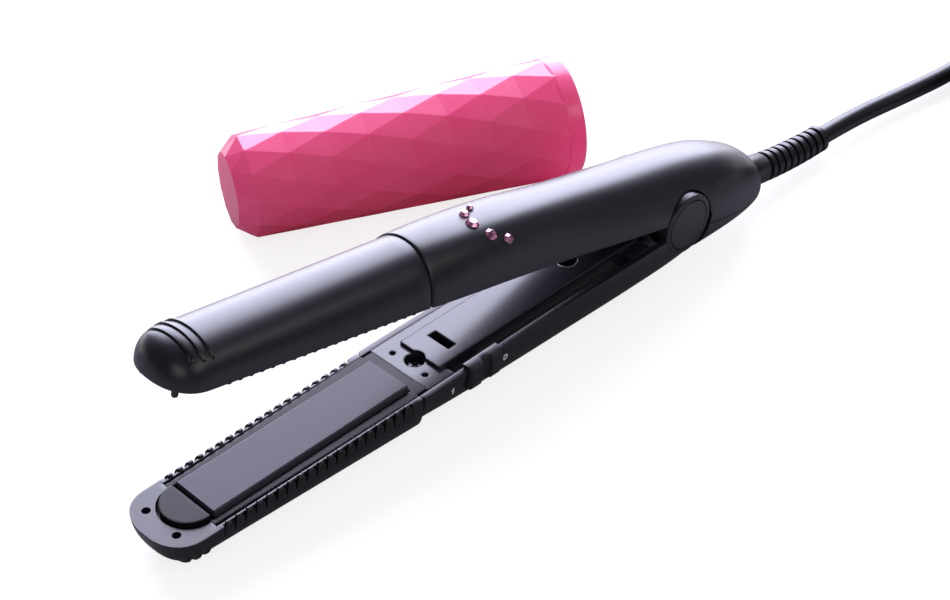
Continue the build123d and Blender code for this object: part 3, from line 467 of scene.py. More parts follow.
# ---- barrels ------------------------------------------------------------------------
TOOTH_PITCH = 3.3
TOOTH_COUNT = int(PLATE_LENGTH / TOOTH_PITCH)
FIRST_TOOTH = NOSE + 6.0 + 1.4
LAST_TOOTH = FIRST_TOOTH + TOOTH_PITCH * (TOOTH_COUNT - 1)
TALL_HALF_LENGTH = 1.42
LOW_HALF_LENGTH = 0.65
COMB_RECESS = 0.9        # the shell steps in by this much behind the tall teeth
COMB_FOOT = 5.6          # down to this far below the mating plane
COMB_EASE = 1.2          # and comes out again over this height
COMB_INSET = 0.6         # the low teeth start this far inside the rim
RECESS_STARTS = 1.75     # before the first tooth and after the last
RECESS_FULL = 1.45
NOSE_STEPS = 16
NOSE_START = 1.3         # height of the nose's first loop, as a share of its rim's
NOSE_HOLD = 2.0          # a loop this far before the seat keeps the nose's shape
PEG_PLACE = NOSE - 4.3
PEG_OFFSET = 6.0
PEG_RADIUS = 0.9
PEG_REACH = 3.8
PEG_HOLE = 1.2
PEG_HOLE_DEPTH = 3.0
FIN_PLACES = (-4.0, -1.3, 1.4)
FIN_END = 6.0
FIN_STEPS = 36
FIN_RISE = 6             # each end rises over one part in this many of its sweep
FIN_PROFILE = ((-0.6, -0.6), (-0.6, 0.15), (-0.3, 0.5), (0.3, 0.5), (0.6, 0.15), (0.6, -0.6))


def barrel_section(barrel, x):
    """Half width and depths of the barrel; past the nose line it closes like an egg."""
    part = min(max((x - barrel.nose) / (RING - barrel.nose), 0.0), 1.0)
    half = barrel.tip[0] + (barrel.ring[0] - barrel.tip[0]) * part
    depth = barrel.tip[1] + (barrel.ring[1] - barrel.tip[1]) * part
    square = barrel.square[0] + (barrel.square[1] - barrel.square[0]) * part
    size = 1.0
    if x < barrel.nose:
        size = max(0.0, 1 - ((barrel.nose - x) / NOSE_LENGTH) ** NOSE_POWER) ** (1 / NOSE_POWER)
    return half * size, depth * size, depth * size, square


def barrel_loop(barrel, x, upwards, wall):
    part = (x - barrel.nose) / (RING - barrel.nose)
    rim = barrel.rim[0] + (barrel.rim[1] - barrel.rim[0]) * part
    return half_loop(x, barrel_section(barrel, x), rim, upwards, wall)


def recessed(loop):
    """The loop with its outside drawn in behind the teeth."""
    for point in loop[:len(loop) // 2]:
        depth = min(max((abs(point.z) - (COMB_FOOT - COMB_EASE)) / COMB_EASE, 0.0), 1.0)
        point.y -= COMB_RECESS * (1 - depth * depth * (3 - 2 * depth)) * (1 if point.y > 0 else -1)
    return loop


def barrel_shell(name, barrel, upwards):
    """Solid egg-shaped nose and hollow half barrel; the lower one has holes for the pegs."""
    smallest = abs(barrel.rim[0]) / barrel.tip[1] * NOSE_START
    last_angle = atan2((1 - smallest ** NOSE_POWER) ** 0.5, smallest ** (NOSE_POWER / 2))
    solid = []
    for step in range(NOSE_STEPS):
        angle = last_angle * (1 - step / NOSE_STEPS)
        solid.append(barrel.nose - NOSE_LENGTH * sin(angle) ** (2 / NOSE_POWER))
    solid += [barrel.nose, SEAT - NOSE_HOLD, SEAT - WALL_STEP]
    loops = [barrel_loop(barrel, x, upwards, None) for x in solid]
    hollow = [SEAT, FIRST_TOOTH - RECESS_STARTS, FIRST_TOOTH - RECESS_FULL]
    hollow += [FIRST_TOOTH + (LAST_TOOTH - FIRST_TOOTH) * step / 6 for step in range(7)]
    hollow += [LAST_TOOTH + RECESS_FULL, LAST_TOOTH + RECESS_STARTS, RING]
    for x in hollow:
        loop = barrel_loop(barrel, x, upwards, BARREL_WALL)
        toothed = not upwards and FIRST_TOOTH - RECESS_STARTS < x < LAST_TOOTH + RECESS_STARTS
        loops.append(recessed(loop) if toothed else loop)
    shell = bevelled(wall_skin(name, loops), BARREL_ROUND, 3)
    seat = (-3.0, RIM + SEAT_DEPTH) if upwards else (-RIM - SEAT_DEPTH, 0.0)
    cut(shell, bore(seat, SEAT_RADIUS, BORE_SIDES, (SEAT, 0, 0), "Z"))
    if not upwards:
        for side in (-1, 1):
            place = (PEG_PLACE, side * PEG_OFFSET, 0)
            cut(shell, bore((-RIM - PEG_HOLE_DEPTH, 1), PEG_HOLE, 24, place, "Z"))
    return shell


def nose_pegs():
    """Two round-ended pegs under the upper nose."""
    profile = ((RIM + 1.5, PEG_RADIUS), (-PEG_REACH + 0.6, PEG_RADIUS), (-PEG_REACH + 0.2, 0.7),
               (-PEG_REACH, 0.35))
    return joined("nose_pegs", [turned("peg", profile, 20, (PEG_PLACE, side * PEG_OFFSET, 0), "Z")
                                for side in (-1, 1)])


def nose_fin(barrel, place, upwards):
    """A ridge over the crown of the nose, thickest in the middle."""
    _, top, bottom, square = barrel_section(barrel, place)
    start = angle_at(FIN_END, top, bottom, square)
    rings = []
    for step in range(FIN_STEPS + 1):
        part = step / FIN_STEPS
        angle = start + (pi - 2 * start) * part
        rise = min(1.0, FIN_RISE * min(part, 1 - part)) ** 0.5
        ring = []
        for along, proud in FIN_PROFILE:
            half, depth, _, power = barrel_section(barrel, place + along)
            reach = proud * rise if proud > 0 else proud
            up = (depth + reach) * sin(angle) ** (2 / power)
            ring.append((place + along, (half + reach) * signed_power(cos(angle), 2 / power),
                         up if upwards else -up))
        rings.append(ring)
    return skin("fin", rings)


def nose_fins(name, barrel, upwards):
    return joined(name, [nose_fin(barrel, barrel.nose + before, upwards) for before in FIN_PLACES])


# a tooth's stations along its length, and its size at each
TOOTH_ENDS = ((-1.0, 0.0), (-0.985, 0.62), (-0.9, 0.86), (-0.72, 1.0), (0.72, 1.0), (0.9, 0.86),
              (0.985, 0.62), (1.0, 0.0))
TOOTH_CORE = (0.92, -0.16)
TOOTH_SHRINK = 0.20
# outlines as shares of the barrel's half width, its depth and the tooth's length
TALL_TOOTH = ((0.88, -0.18, 0.5), (0.89, -0.12, 0.45), (0.905, -0.095, 0.4), (0.93, -0.085, 0.42),
              (0.962, -0.088, 0.46), (0.985, -0.10, 0.56), (1.0, -0.125, 0.76), (1.006, -0.16, 0.92),
              (1.004, -0.20, 1.0), (0.998, -0.25, 1.0), (0.990, -0.30, 1.0), (0.98, -0.34, 1.0),
              (0.965, -0.38, 0.97), (0.93, -0.40, 0.9))
LOW_TOOTH = ((0.88, -0.16, 1.0), (0.89, -0.06, 0.9), (0.905, -0.012, 0.7), (0.93, 0.005, 0.6),
             (0.962, 0.002, 0.6), (0.985, -0.015, 0.7), (0.998, -0.05, 0.9), (1.0, -0.10, 1.0),
             (0.95, -0.18, 1.0))


def comb_tooth(outline, half_length):
    """One round-topped tooth on a barrel of unit half width and depth, at +Y. Its outline
    runs from its root inside the rim, over its top and down the barrel's side."""
    rings = []
    for along, size in TOOTH_ENDS:
        shrink = 1 - TOOTH_SHRINK + TOOTH_SHRINK * size
        rings.append([(along * half_length * share,
                       TOOTH_CORE[0] + (across - TOOTH_CORE[0]) * shrink,
                       TOOTH_CORE[1] + (down - TOOTH_CORE[1]) * shrink)
                      for across, down, share in outline])
    return skin("comb tooth", rings)


def tree_with_inputs(name, sizes):
    tree = bpy.data.node_groups.new(name, "GeometryNodeTree")
    tree.interface.new_socket("Geometry", in_out="OUTPUT", socket_type="NodeSocketGeometry")
    tree.interface.new_socket("Geometry", in_out="INPUT", socket_type="NodeSocketGeometry")
    for label, kind in sizes:
        tree.interface.new_socket(label, in_out="INPUT", socket_type="NodeSocket" + kind)
    return tree


def with_nodes(piece, tree, values):
    """Run a node tree on a piece with its sizes, and keep the result as a plain mesh."""
    modifier = piece.modifiers.new(tree.name, "NODES")
    modifier.node_group = tree
    for item in tree.interface.items_tree:
        if item.item_type == "SOCKET" and item.in_out == "INPUT" and item.name in values:
            modifier[item.identifier] = values[item.name]
    return apply_modifiers(piece)


def finish_tree(tree, given, copies):
    """Make a tree's copies real and give them their finish."""
    real = add(tree, "GeometryNodeRealizeInstances", links={"Geometry": copies.outputs[0]})
    finish = add(tree, "GeometryNodeSetMaterial",
                 links={"Geometry": real.outputs[0], "Material": given["Finish"]})
    add(tree, "NodeGroupOutput", links={"Geometry": finish.outputs[0]})
    return tree


def comb_tree():
    """Teeth along both edges of a barrel that widens from tip to ring."""
    tree = tree_with_inputs("barrel comb", (
        ("Tooth", "Object"), ("Count", "Int"), ("Pitch", "Float"), ("First tooth", "Float"),
        ("Half width at the tip", "Float"), ("Half width at the ring", "Float"),
        ("Depth at the tip", "Float"), ("Depth at the ring", "Float"), ("Finish", "Material")))
    given = add(tree, "NodeGroupInput").outputs
    start = add(tree, "ShaderNodeCombineXYZ", links={"X": given["First tooth"]})
    stride = add(tree, "ShaderNodeCombineXYZ", links={"X": given["Pitch"]})
    line = add(tree, "GeometryNodeMeshLine", links={
        "Count": given["Count"], "Start Location": start.outputs[0], "Offset": stride.outputs[0]})
    index = add(tree, "GeometryNodeInputIndex")
    last = add(tree, "ShaderNodeMath", {1: 1.0}, {0: given["Count"]}, operation="SUBTRACT")
    half, depth = (add(tree, "ShaderNodeMapRange", links={
        "Value": index.outputs[0], "From Max": last.outputs[0],
        "To Min": given[size + " at the tip"], "To Max": given[size + " at the ring"]})
        for size in ("Half width", "Depth"))
    scale = add(tree, "ShaderNodeCombineXYZ", {"X": 1.0},
                {"Y": half.outputs[0], "Z": depth.outputs[0]})
    tooth = add(tree, "GeometryNodeObjectInfo", links={"Object": given["Tooth"]})
    both = add(tree, "GeometryNodeJoinGeometry")
    for angle in (0.0, pi):
        copies = add(tree, "GeometryNodeInstanceOnPoints", {"Rotation": (0.0, 0.0, angle)}, {
            "Points": line.outputs[0], "Instance": tooth.outputs["Geometry"],
            "Scale": scale.outputs[0]})
        tree.links.new(copies.outputs[0], both.inputs[0])
    return finish_tree(tree, given, both)


comb = comb_tree()


def comb_rows(name, barrel, outline, half_length):
    tooth = comb_tooth(outline, half_length)
    first, last = barrel_section(barrel, FIRST_TOOTH), barrel_section(barrel, LAST_TOOTH)
    rows = mesh_object(name, [(0, 0, 0)], [])
    with_nodes(rows, comb, {
        "Tooth": tooth, "Count": TOOTH_COUNT, "Pitch": TOOTH_PITCH, "First tooth": FIRST_TOOTH,
        "Half width at the tip": first[0], "Half width at the ring": last[0],
        "Depth at the tip": first[1], "Depth at the ring": last[1], "Finish": comb_nylon})
    drop(tooth)
    return rows


def barrel_pieces(arm, barrel, place, comb_place, outline, half_length, comb_finish):
    """Shell, comb and fins of one arm, each put in its place."""
    upwards = arm == "upper"
    body = "main_body" if upwards else "lower_arm"
    settle(barrel_shell(arm + "_barrel_shell", barrel, upwards), place, barrel_coat, body, "barrel",
           arm + "_barrel")
    settle(comb_rows(arm + "_barrel_comb", barrel, outline, half_length), comb_place, comb_finish,
           body, "barrel")
    settle(nose_fins(arm + "_nose_fins", barrel, upwards), place, comb_nylon, body, "barrel")


# the upper comb is turned over and leans with the upper rim
over = Matrix.Rotation(pi, 4, "X")
rise = (UPPER_BARREL.rim[1] - UPPER_BARREL.rim[0]) / (RING - UPPER_BARREL.nose)
lean = Matrix.Translation((RING, 0, UPPER_BARREL.rim[1] - COMB_INSET))
lean = lean @ Matrix.Rotation(-atan2(rise, 1.0), 4, "Y") @ Matrix.Translation((-RING, 0, 0))
barrel_pieces("lower", LOWER_BARREL, lower_arm, lower_arm, TALL_TOOTH, TALL_HALF_LENGTH, comb_nylon)
barrel_pieces("upper", UPPER_BARREL, main_body, main_body @ lean @ over, LOW_TOOTH, LOW_HALF_LENGTH,
              barrel_coat)
settle(nose_pegs(), main_body, comb_nylon, "main_body", "barrel")


# ---- grip halves --------------------------------------------------------------------
EAR_RADIUS = 9.4
EAR_POCKET = 10.0
EAR_INNER = 10.6
EAR_POCKET_REACH = 30.0  # past the side of the shell
EAR_SIDES = 96
CHEEK_OUTER = 9.8
CHEEK_INNER = 7.4
CHEEK_RADIUS = 9.0
CHEEK_REACH = 12.0
CHEEK_STEPS = 32
WEB_STEPS = 20
CAP_RADIUS = 7.85
CAP_THICK = 1.4
GRIP_HALF_HINGE = 14.3
GRIP_STEP = 2.5
REAR_STEP = 1.6
COVER_GAP = 0.3
WEB_INSET = 0.8
RELIEF_HEIGHT = -0.5
RELIEF_RADIUS = 5.1
RELIEF_CLEARANCE = 0.15
# the front edge of the grip: distance behind the ring, and how far it is set in
LIP = ((0.0, 1.2), (0.45, 1.15), (0.58, 0.35), (0.8, 0.06), (1.3, 0.0))
# the rear end's last loops: distance from the end, wall, and how far they are set in
REAR_LOOPS = ((3.4, SHELL_WALL, 0.0), (2.0, SHELL_WALL, 0.0), (1.9, None, 0.0), (0.8, None, 0.0),
              (0.25, None, 0.15), (0.0, None, 0.5))


def grip_loops(rows, last, rim, upwards):
    loops = []
    for along, less in LIP:
        section = shrunk(section_at(rows, RING + along), less)
        loops.append(half_loop(RING + along, section, rim, upwards, SHELL_WALL - less))
    x = RING + GRIP_STEP
    while x < last - 1.0:
        loops.append(half_loop(x, section_at(rows, x), rim, upwards, SHELL_WALL))
        x += GRIP_STEP
    loops.append(half_loop(last, section_at(rows, last), rim, upwards, SHELL_WALL))
    return loops


def rear_loops(start, rim, upwards):
    """Loops of the rear end: hollow up to its wall, then solid and rounded off."""
    loops = []
    x = start
    while x < REAR - 4:
        loops.append(half_loop(x, section_at(BODY, x), rim, upwards, SHELL_WALL))
        x += REAR_STEP
    for before, wall, less in REAR_LOOPS:
        x = REAR - before
        loops.append(half_loop(x, shrunk(section_at(BODY, x), less), rim, upwards, wall))
    return loops


def relief_bore():
    radius = RELIEF_RADIUS + RELIEF_CLEARANCE
    return bore((REAR - 6, REAR + 3), radius, BORE_SIDES, (0, 0, RELIEF_HEIGHT), "X")


def lower_grip():
    loops = grip_loops(GRIP, LOWER_END, -RIM, False)
    return bevelled(wall_skin("lower_grip_shell", loops), GRIP_ROUND, 3)


def upper_grip():
    loops = grip_loops(BODY, SPLIT, RIM, True) + rear_loops(SPLIT + 0.05, SPLIT_HEIGHT, True)
    shell = bevelled(wall_skin("upper_grip_shell_moulding", loops), GRIP_ROUND, 3)
    for side in (-1, 1):
        ends = sorted((side * CHEEK_OUTER, side * EAR_POCKET_REACH))
        cut(shell, bore(ends, EAR_POCKET, EAR_SIDES))
    return cut(shell, relief_bore())


def rear_cover():
    rim = SPLIT_HEIGHT - COVER_GAP
    loops = [half_loop(x, section_at(BODY, x), rim, False, None)
             for x in (SPLIT, SPLIT + REAR_STEP)]
    loops += rear_loops(SPLIT + REAR_STEP + WALL_STEP, rim, False)
    return cut(bevelled(wall_skin("rear_cover_moulding", loops), COVER_ROUND, 2), relief_bore())


def hinge_ear(name, side):
    """Round ear of the lower arm with the seat of its hinge cap."""
    profile = ((EAR_INNER, EAR_RADIUS - 0.3), (EAR_INNER + 0.3, EAR_RADIUS),
               (GRIP_HALF_HINGE - 0.5, EAR_RADIUS), (GRIP_HALF_HINGE - 0.15, EAR_RADIUS - 0.15),
               (GRIP_HALF_HINGE, EAR_RADIUS - 0.5), (GRIP_HALF_HINGE, CAP_RADIUS + 0.12),
               (GRIP_HALF_HINGE - CAP_THICK, CAP_RADIUS + 0.02))
    return turned(name, [(side * along, radius) for along, radius in profile], EAR_SIDES)


def hinge_web(name, side):
    """Wall beside the ear pocket, with the round cheek that carries the pin."""
    outline = []
    for step in range(WEB_STEPS + 1):
        x = CHEEK_REACH * (2 * step / WEB_STEPS - 1)
        half, top, _, square = section_at(CROWN, x)
        crown = top * (1 - (CHEEK_OUTER / half) ** square) ** (1 / square)
        outline.append((x, crown - WEB_INSET))
    outline.append((CHEEK_REACH, RIM))
    for step in range(CHEEK_STEPS + 1):
        angle = pi * step / CHEEK_STEPS
        outline.append((CHEEK_RADIUS * cos(angle), -CHEEK_RADIUS * sin(angle)))
    outline.append((-CHEEK_REACH, RIM))
    return skin(name, [[(x, side * y, z) for x, z in outline] for y in (CHEEK_INNER, CHEEK_OUTER)])


# ---- switch knob --------------------------------------------------------------------
KNOB_REAR = -75.6
KNOB_LENGTH = 12.3
KNOB_MIDDLE = KNOB_REAR - KNOB_LENGTH / 2
KNOB_PROUD = 1.4
KNOB_GAP = 0.2
KNOB_TOP = 2.0           # its outer face runs from here down to its depth
KNOB_DEPTH = 8.6
KNOB_LIP = 11.2          # its top flange reaches in to this half width
KNOB_FLANGE = 1.2        # and stands this far above the rim
KNOB_CHAMFER = 0.3
KNOB_ROUND = 1.1
KNOB_STEPS = 12
NOTCH_RADIUS = 1.7
NOTCH_DEPTH = 0.8
KNOB_STATIONS = (NOTCH_RADIUS, 2.0, 3.4)     # loops from its notch to its round end
KNOB_TURN_STEPS = 6
STEM_LENGTH = 3.4
STEM_TOP = -5.4
STEM_THICK = 1.4
STEM_OUTER, STEM_INNER = -13.3, -9.7


def knob_proud(off):
    """How far the knob stands out, at a distance from its middle: two lobes and a round notch."""
    straight = KNOB_LENGTH / 2 - KNOB_ROUND
    if off < NOTCH_RADIUS:
        return KNOB_PROUD - NOTCH_DEPTH * (NOTCH_RADIUS ** 2 - off ** 2) ** 0.5
    if off > straight:
        return KNOB_PROUD * max(0.0, 1 - ((off - straight) / KNOB_ROUND) ** 2) ** 0.5
    return KNOB_PROUD


def knob_loop(off):
    """Section of the knob: a flange over the rim and a curved outer face beside the shell."""
    half, _, bottom, square = section_at(GRIP, KNOB_MIDDLE + off)
    proud = knob_proud(abs(off))
    outside, inside = [], []
    for step in range(KNOB_STEPS + 1):
        height = -KNOB_TOP - (KNOB_DEPTH - KNOB_TOP) * step / KNOB_STEPS
        shell = half * (1 - (-height / bottom) ** square) ** (1 / square)
        outside.append((-shell - KNOB_GAP - proud, height))
        inside.append((-shell - KNOB_GAP / 2, height))
    edge, seat = outside[0][0], inside[0][0]
    flange = [(-KNOB_LIP, -RIM + KNOB_FLANGE), (edge + KNOB_CHAMFER, -RIM + KNOB_FLANGE),
              (edge, -RIM + KNOB_FLANGE - KNOB_CHAMFER)]
    under = [(across, -RIM + KNOB_GAP) for across in (-KNOB_LIP, (seat - KNOB_LIP) / 2, seat)]
    return [Vector((KNOB_MIDDLE + off, *place))
            for place in flange + outside + (under + inside)[::-1]]


def knob_body():
    turns = [sin(pi / 2 * step / KNOB_TURN_STEPS) for step in range(KNOB_TURN_STEPS + 1)]
    offs = [NOTCH_RADIUS * share for share in turns[:-1]] + list(KNOB_STATIONS)
    offs += [KNOB_LENGTH / 2 - KNOB_ROUND * (1 - share) for share in turns]
    loops = [knob_loop(off) for off in [-off for off in offs[:0:-1]] + offs]
    return bevelled(wall_skin("knob_body", loops), KNOB_EDGE, 2)


def knob_stem():
    outline = ((STEM_OUTER, STEM_TOP), (STEM_INNER, STEM_TOP), (STEM_INNER, STEM_TOP - STEM_THICK),
               (STEM_OUTER, STEM_TOP - STEM_THICK))
    return skin("knob_stem", [[Vector((KNOB_MIDDLE + end, *place)) for place in outline]
                              for end in (-STEM_LENGTH / 2, STEM_LENGTH / 2)])


settle(lower_grip(), lower_arm, shell_abs, "lower_arm", "shell", "lower_arm_shell")
settle(knob_body(), lower_arm, knob_abs, "switch_knob", "knob", "switch_knob")
settle(knob_stem(), lower_arm, knob_abs, "switch_knob", "knob")
settle(upper_grip(), main_body, shell_abs, "main_body", "shell", "upper_grip_shell")
settle(rear_cover(), main_body, shell_abs, "main_body", "shell", "rear_lower_cover")
for label, side in (("near", -1), ("far", 1)):
    settle(hinge_ear("hinge_ear_" + label, side), lower_arm, shell_abs, "lower_arm", "shell")
    settle(hinge_web("hinge_web_" + label, side), main_body, frame_pps, "main_body", "shell")


# ---- bend relief --------------------------------------------------------------------
RELIEF_START = 34.0
RELIEF_STRAIGHT = 11.0
RELIEF_BEND = 180.0
RELIEF_END_RADIUS = 4.3
RELIEF_RIBS = 9
RELIEF_PITCH = 3.3
RELIEF_RIB = 2.1
RELIEF_GROOVE = 1.1
RELIEF_LENGTH = RELIEF_STRAIGHT + RELIEF_BEND * MAIN_TILT
RELIEF_SMOOTH = RELIEF_LENGTH - RELIEF_RIBS * RELIEF_PITCH
RELIEF_TAPER = (RELIEF_END_RADIUS - RELIEF_RADIUS) / RELIEF_LENGTH
RELIEF_SIDES = 40
CORE_STEPS = 26
RIB_LINE_STEPS = 40


def relief_place(along):
    """Point and heading of the relief's middle line from the hinge, in millimetres."""
    start = Vector((RELIEF_START * cos(MAIN_TILT) + RELIEF_HEIGHT * sin(MAIN_TILT), 0,
                    RELIEF_HEIGHT * cos(MAIN_TILT) - RELIEF_START * sin(MAIN_TILT)))
    heading = Vector((cos(MAIN_TILT), 0, -sin(MAIN_TILT)))
    if along <= RELIEF_STRAIGHT:
        return start + heading * along, heading
    slope = MAIN_TILT - (along - RELIEF_STRAIGHT) / RELIEF_BEND
    run = RELIEF_BEND * (sin(MAIN_TILT) - sin(slope))
    fall = RELIEF_BEND * (cos(slope) - cos(MAIN_TILT))
    corner = start + heading * RELIEF_STRAIGHT
    return corner + Vector((run, 0, -fall)), Vector((cos(slope), 0, -sin(slope)))


def relief_core():
    """Smooth root that steps down to the core between the ribs."""
    stations = [(0.0, 0.0), (RELIEF_SMOOTH * 0.5, 0.0), (RELIEF_SMOOTH - 0.5, 0.0),
                (RELIEF_SMOOTH - 0.1, 0.25), (RELIEF_SMOOTH, RELIEF_GROOVE)]
    ribbed = RELIEF_LENGTH - RELIEF_SMOOTH
    stations += [(RELIEF_SMOOTH + ribbed * step / CORE_STEPS, RELIEF_GROOVE)
                 for step in range(1, CORE_STEPS + 1)]
    rings = []
    for along, less in stations:
        centre, heading = relief_place(along)
        up = Vector((-heading.z, 0, heading.x))
        radius = RELIEF_RADIUS + RELIEF_TAPER * along - less
        ring = []
        for step in range(RELIEF_SIDES):
            angle = 2 * pi * step / RELIEF_SIDES
            ring.append(centre + Vector((0, radius * cos(angle), 0)) + up * radius * sin(angle))
        rings.append(ring)
    return skin("bend_relief_core", rings)


def ribs_tree():
    """Rings at an even pitch along a line, tapering to its end."""
    tree = tree_with_inputs("relief ribs", (
        ("Rib", "Object"), ("Count", "Int"), ("First size", "Float"), ("Last size", "Float"),
        ("Finish", "Material")))
    given = add(tree, "NodeGroupInput").outputs
    line = add(tree, "GeometryNodeMeshToCurve", links={"Mesh": given["Geometry"]})
    even = add(tree, "GeometryNodeResampleCurve",
               links={"Curve": line.outputs[0], "Count": given["Count"]})
    index = add(tree, "GeometryNodeInputIndex")
    size = add(tree, "ShaderNodeMapRange", links={
        "Value": index.outputs[0], "From Max": given["Count"],
        "To Min": given["First size"], "To Max": given["Last size"]})
    scale = add(tree, "ShaderNodeCombineXYZ", {"Z": 1.0},
                {"X": size.outputs[0], "Y": size.outputs[0]})
    tangent = add(tree, "GeometryNodeInputTangent")
    facing = add(tree, "FunctionNodeAlignRotationToVector", links={"Vector": tangent.outputs[0]},
                 axis="Z")
    rib = add(tree, "GeometryNodeObjectInfo", links={"Object": given["Rib"]})
    copies = add(tree, "GeometryNodeInstanceOnPoints", links={
        "Points": even.outputs[0], "Instance": rib.outputs["Geometry"],
        "Rotation": facing.outputs[0], "Scale": scale.outputs[0]})
    return finish_tree(tree, given, copies)


def relief_ribs():
    edge = RELIEF_RIB / 2
    profile = ((-edge, 0.8), (-edge, 0.955), (-edge + 0.18, 0.995), (0, 1.0), (edge - 0.18, 0.995),
               (edge, 0.955), (edge, 0.8))
    rib = turned("rib", profile, RELIEF_SIDES, axis="Z")
    first = RELIEF_SMOOTH + RELIEF_PITCH - edge
    run = RELIEF_LENGTH - edge - first
    path = [tuple(relief_place(first + run * step / RIB_LINE_STEPS)[0])
            for step in range(RIB_LINE_STEPS + 1)]
    line = bpy.data.meshes.new("bend_relief_ribs")
    line.from_pydata(path, [(step, step + 1) for step in range(RIB_LINE_STEPS)], [])
    piece = new_object("bend_relief_ribs", line)
    with_nodes(piece, ribs_tree(), {
        "Rib": rib, "Count": RELIEF_RIBS, "First size": RELIEF_RADIUS + RELIEF_TAPER * first,
        "Last size": RELIEF_END_RADIUS, "Finish": cord_pvc})
    drop(rib)
    return piece


relief = settle(relief_core(), level, cord_pvc, "main_body", "cord", "bend_relief")
ribs = settle(relief_ribs(), level, cord_pvc, "main_body", "cord")


# ---- cord ---------------------------------------------------------------------------
CORD_DIAMETER = 6.0
COIL_CENTRE = Vector((172.0, -40.0, 0.0))
INNER, OUTER, LEAVING = 31.4, 37.7, 44.0
FLOOR_LAYER, LAYER = 4.2, 6.1
POINTS_PER_TURN = 24
TO_COIL = [(100, 0.6, 5.0), (124, -1.6, 4.1), (150, -4.4, 4.2)]
TO_PLUG = [(156.0, -83.5, 5.0), (141.0, -81.0, 5.6), (127.0, -82.7, 7.0), (114.0, -86.4, 7.0)]
# where the winding stands at each angle: degrees, radius, layer
WINDING = ((90, OUTER, 0), (-195, OUTER, 0), (-230, INNER, 0), (-515, INNER, 0), (-550, INNER, 1),
           (-835, INNER, 1), (-870, OUTER, 1), (-1115, OUTER, 1), (-1150, OUTER, 2),
           (-1445, OUTER, 2), (-1480, LEAVING, 2), (-1530, LEAVING, 0.5))


def winding_at(angle):
    """Radius and layer of the winding, easing from one slot to the next."""
    for first, second in zip(WINDING, WINDING[1:]):
        if second[0] <= angle <= first[0]:
            part = (first[0] - angle) / (first[0] - second[0])
            ease = part * part * (3 - 2 * part)
            return tuple(first[place] + (second[place] - first[place]) * ease for place in (1, 2))


relief_end = relief_place(RELIEF_LENGTH)[0]
route = [(relief_end.x, relief_end.y, relief_end.z + hinge.z / MM)] + TO_COIL
for step in range(int((WINDING[0][0] - WINDING[-1][0]) / 360 * POINTS_PER_TURN) + 1):
    angle = WINDING[0][0] - 360 * step / POINTS_PER_TURN
    radius, layer = winding_at(angle)
    route.append((COIL_CENTRE.x + radius * cos(radians(angle)),
                  COIL_CENTRE.y + radius * sin(radians(angle)), FLOOR_LAYER + LAYER * layer))
route += TO_PLUG

cord_curve = bpy.data.curves.new("mains_flex", "CURVE")
cord_curve.dimensions = "3D"
cord_curve.bevel_depth = CORD_DIAMETER / 2 * MM
cord_curve.bevel_resolution = 5
cord_curve.resolution_u = 6
cord_curve.use_fill_caps = True
line = cord_curve.splines.new("NURBS")
line.points.add(len(route) - 1)
for point, place in zip(line.points, route):
    point.co = tuple(table @ Vector(place)) + (1.0,)
line.order_u = 3
line.use_endpoint_u = True
flex = new_object("mains_flex", cord_curve)
cord_curve.materials.append(cord_pvc)
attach(flex, "main_body")
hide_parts("mains_cord", "cord_coil", "cord_tail")


# ---- finishes of the carried-over pieces --------------------------------------------
FINISHES = {
    "upper_plate_frame": frame_pps, "lower_plate_frame": frame_pps,
    "upper_heater_plate": plate_ceramic, "lower_heater_plate": plate_ceramic,
    "upper_heater_element": heater_alumina, "lower_heater_element": heater_alumina,
    "upper_float_pads": lead_silicone, "lower_float_pads": lead_silicone,
    "upper_inner_cover": lid_abs, "lower_inner_cover": lid_abs,
    "upper_screws": zinc_steel, "lower_screws": zinc_steel,
    "upper_wires": lead_silicone, "lower_wires": lead_silicone,
    "switch_module": frame_pps, "switch_numerals": print_white,
    "hinge_cap_near": knob_abs, "hinge_cap_far": knob_abs, "hinge_pin": plain_steel,
    "hinge_washers": plain_steel, "torsion_spring": plain_steel, "control_board": board_mask,
    "thermal_fuse": plain_steel, "crystals": crystal_glass, "cord_tie": tie_tape,
    "plug_body": cord_pvc, "plug_pins": blade_brass, "storage_cap": cap_san,
}
for name, finish in FINISHES.items():
    node = nodes[name]
    if not node.material_slots:
        node.data.materials.append(finish)
    for slot in node.material_slots:
        slot.material = finish


# ---- floor and sky ------------------------------------------------------------------
FLOOR_HALF = 3.0         # metres
PAPER = "8e8e92"
PAPER_GLOW = 0.8         # what the camera sees on top of the lit paper, which makes it white
PAINTED_REFLECTION_DEPTH = (0.12, 0.5)     # painted reflection: over this depth behind the iron, in metres, the paper glows for mirror rays only, though no lamp is there
PAINTED_REFLECTION_STRENGTH = 4.0
SKY = "f6f4fb"
SKY_ON_DIFFUSE = 0.45

corners = [(-FLOOR_HALF, -FLOOR_HALF, 0), (FLOOR_HALF, -FLOOR_HALF, 0),
           (FLOOR_HALF, FLOOR_HALF, 0), (-FLOOR_HALF, FLOOR_HALF, 0)]
floor_mesh = bpy.data.meshes.new("floor")
floor_mesh.from_pydata(corners, [], [(0, 1, 2, 3)])
floor = new_object("floor", floor_mesh)
floor_paper, tree = new_material("white seamless paper")
path = add(tree, "ShaderNodeLightPath")
paper = add(tree, "ShaderNodeBsdfDiffuse", {"Color": linear_colour(PAPER)})
glow = add(tree, "ShaderNodeEmission", {"Color": linear_colour("ffffff")})
seen = add(tree, "ShaderNodeMath", {1: PAPER_GLOW}, {0: path.outputs["Is Camera Ray"]},
           operation="MULTIPLY")
place = add(tree, "ShaderNodeTexCoord")
across = add(tree, "ShaderNodeSeparateXYZ", links={0: place.outputs["Object"]})
depth = add(tree, "ShaderNodeMath", links={0: across.outputs["X"], 1: across.outputs["Y"]},
            operation="ADD")
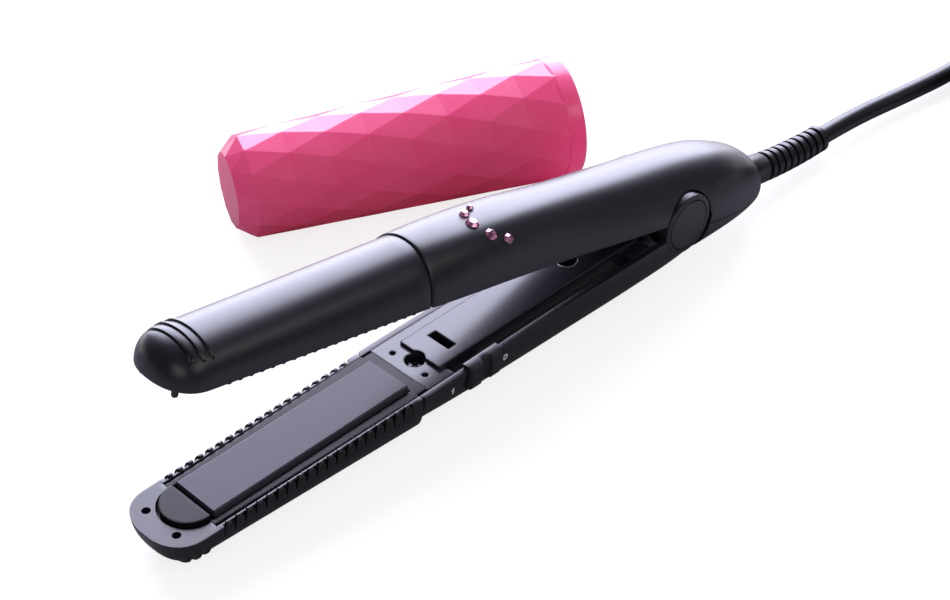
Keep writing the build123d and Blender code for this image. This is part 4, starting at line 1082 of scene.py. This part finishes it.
# Painted reflection: behind the iron the paper glows in what mirror rays see, so the iron's shiny sides
# pick up light that no lamp gives
behind = add(tree, "ShaderNodeMapRange",
             {"From Min": PAINTED_REFLECTION_DEPTH[0], "From Max": PAINTED_REFLECTION_DEPTH[1], "To Min": 0.0, "To Max": PAINTED_REFLECTION_STRENGTH},
             {"Value": depth.outputs[0]}, interpolation_type="SMOOTHSTEP")
painted_reflection = add(tree, "ShaderNodeMath", operation="MULTIPLY",
               links={0: path.outputs["Is Glossy Ray"], 1: behind.outputs[0]})
lift = add(tree, "ShaderNodeMath", links={0: seen.outputs[0], 1: painted_reflection.outputs[0]},
           operation="ADD")
tree.links.new(lift.outputs[0], glow.inputs["Strength"])
both = add(tree, "ShaderNodeAddShader", links={0: paper.outputs[0], 1: glow.outputs[0]})
add(tree, "ShaderNodeOutputMaterial", links={"Surface": both.outputs[0]})
floor_mesh.materials.append(floor_paper)

world = bpy.data.worlds.new("studio")
bpy.context.scene.world = world
world.use_nodes = True
tree = world.node_tree
tree.nodes.clear()
path = add(tree, "ShaderNodeLightPath")
seen = add(tree, "ShaderNodeMath", operation="MAXIMUM",
           links={0: path.outputs["Is Camera Ray"], 1: path.outputs["Is Transmission Ray"]})
soft = add(tree, "ShaderNodeMath", {1: SKY_ON_DIFFUSE}, {0: path.outputs["Is Diffuse Ray"]},
           operation="MULTIPLY")
strength = add(tree, "ShaderNodeMath", links={0: seen.outputs[0], 1: soft.outputs[0]},
               operation="MAXIMUM")
sky = add(tree, "ShaderNodeBackground", {"Color": linear_colour(SKY)},
          {"Strength": strength.outputs[0]})
add(tree, "ShaderNodeOutputWorld", links={"Surface": sky.outputs[0]})


# ---- lamps --------------------------------------------------------------------------
LAMP_AIM = hinge + Vector((-0.06, 0.0, 0.02))
LAVENDER = (0.79, 0.79, 1.0)
WHITE = (1.0, 1.0, 1.0)
# name, place in metres, width and height in metres, watts, colour
LAMPS = (("back softbox", (0.60, 0.75, 0.56), (1.45, 1.1), 54.0, LAVENDER),
         ("side softbox", (0.35, -1.0, 0.85), (1.1, 0.4), 3.0, WHITE),
         ("front fill", (-0.9, -0.5, 0.6), (0.6, 0.5), 1.6, WHITE))
for name, place, size, watts, colour in LAMPS:
    data = bpy.data.lights.new(name, "AREA")
    data.shape = "RECTANGLE"
    data.size, data.size_y = size
    data.energy = watts
    data.color = colour
    lamp = new_object(name, data)
    lamp.location = place
    lamp.rotation_euler = (LAMP_AIM - Vector(place)).to_track_quat("-Z", "Y").to_euler()

bpy.context.scene.view_settings.view_transform = "Standard"
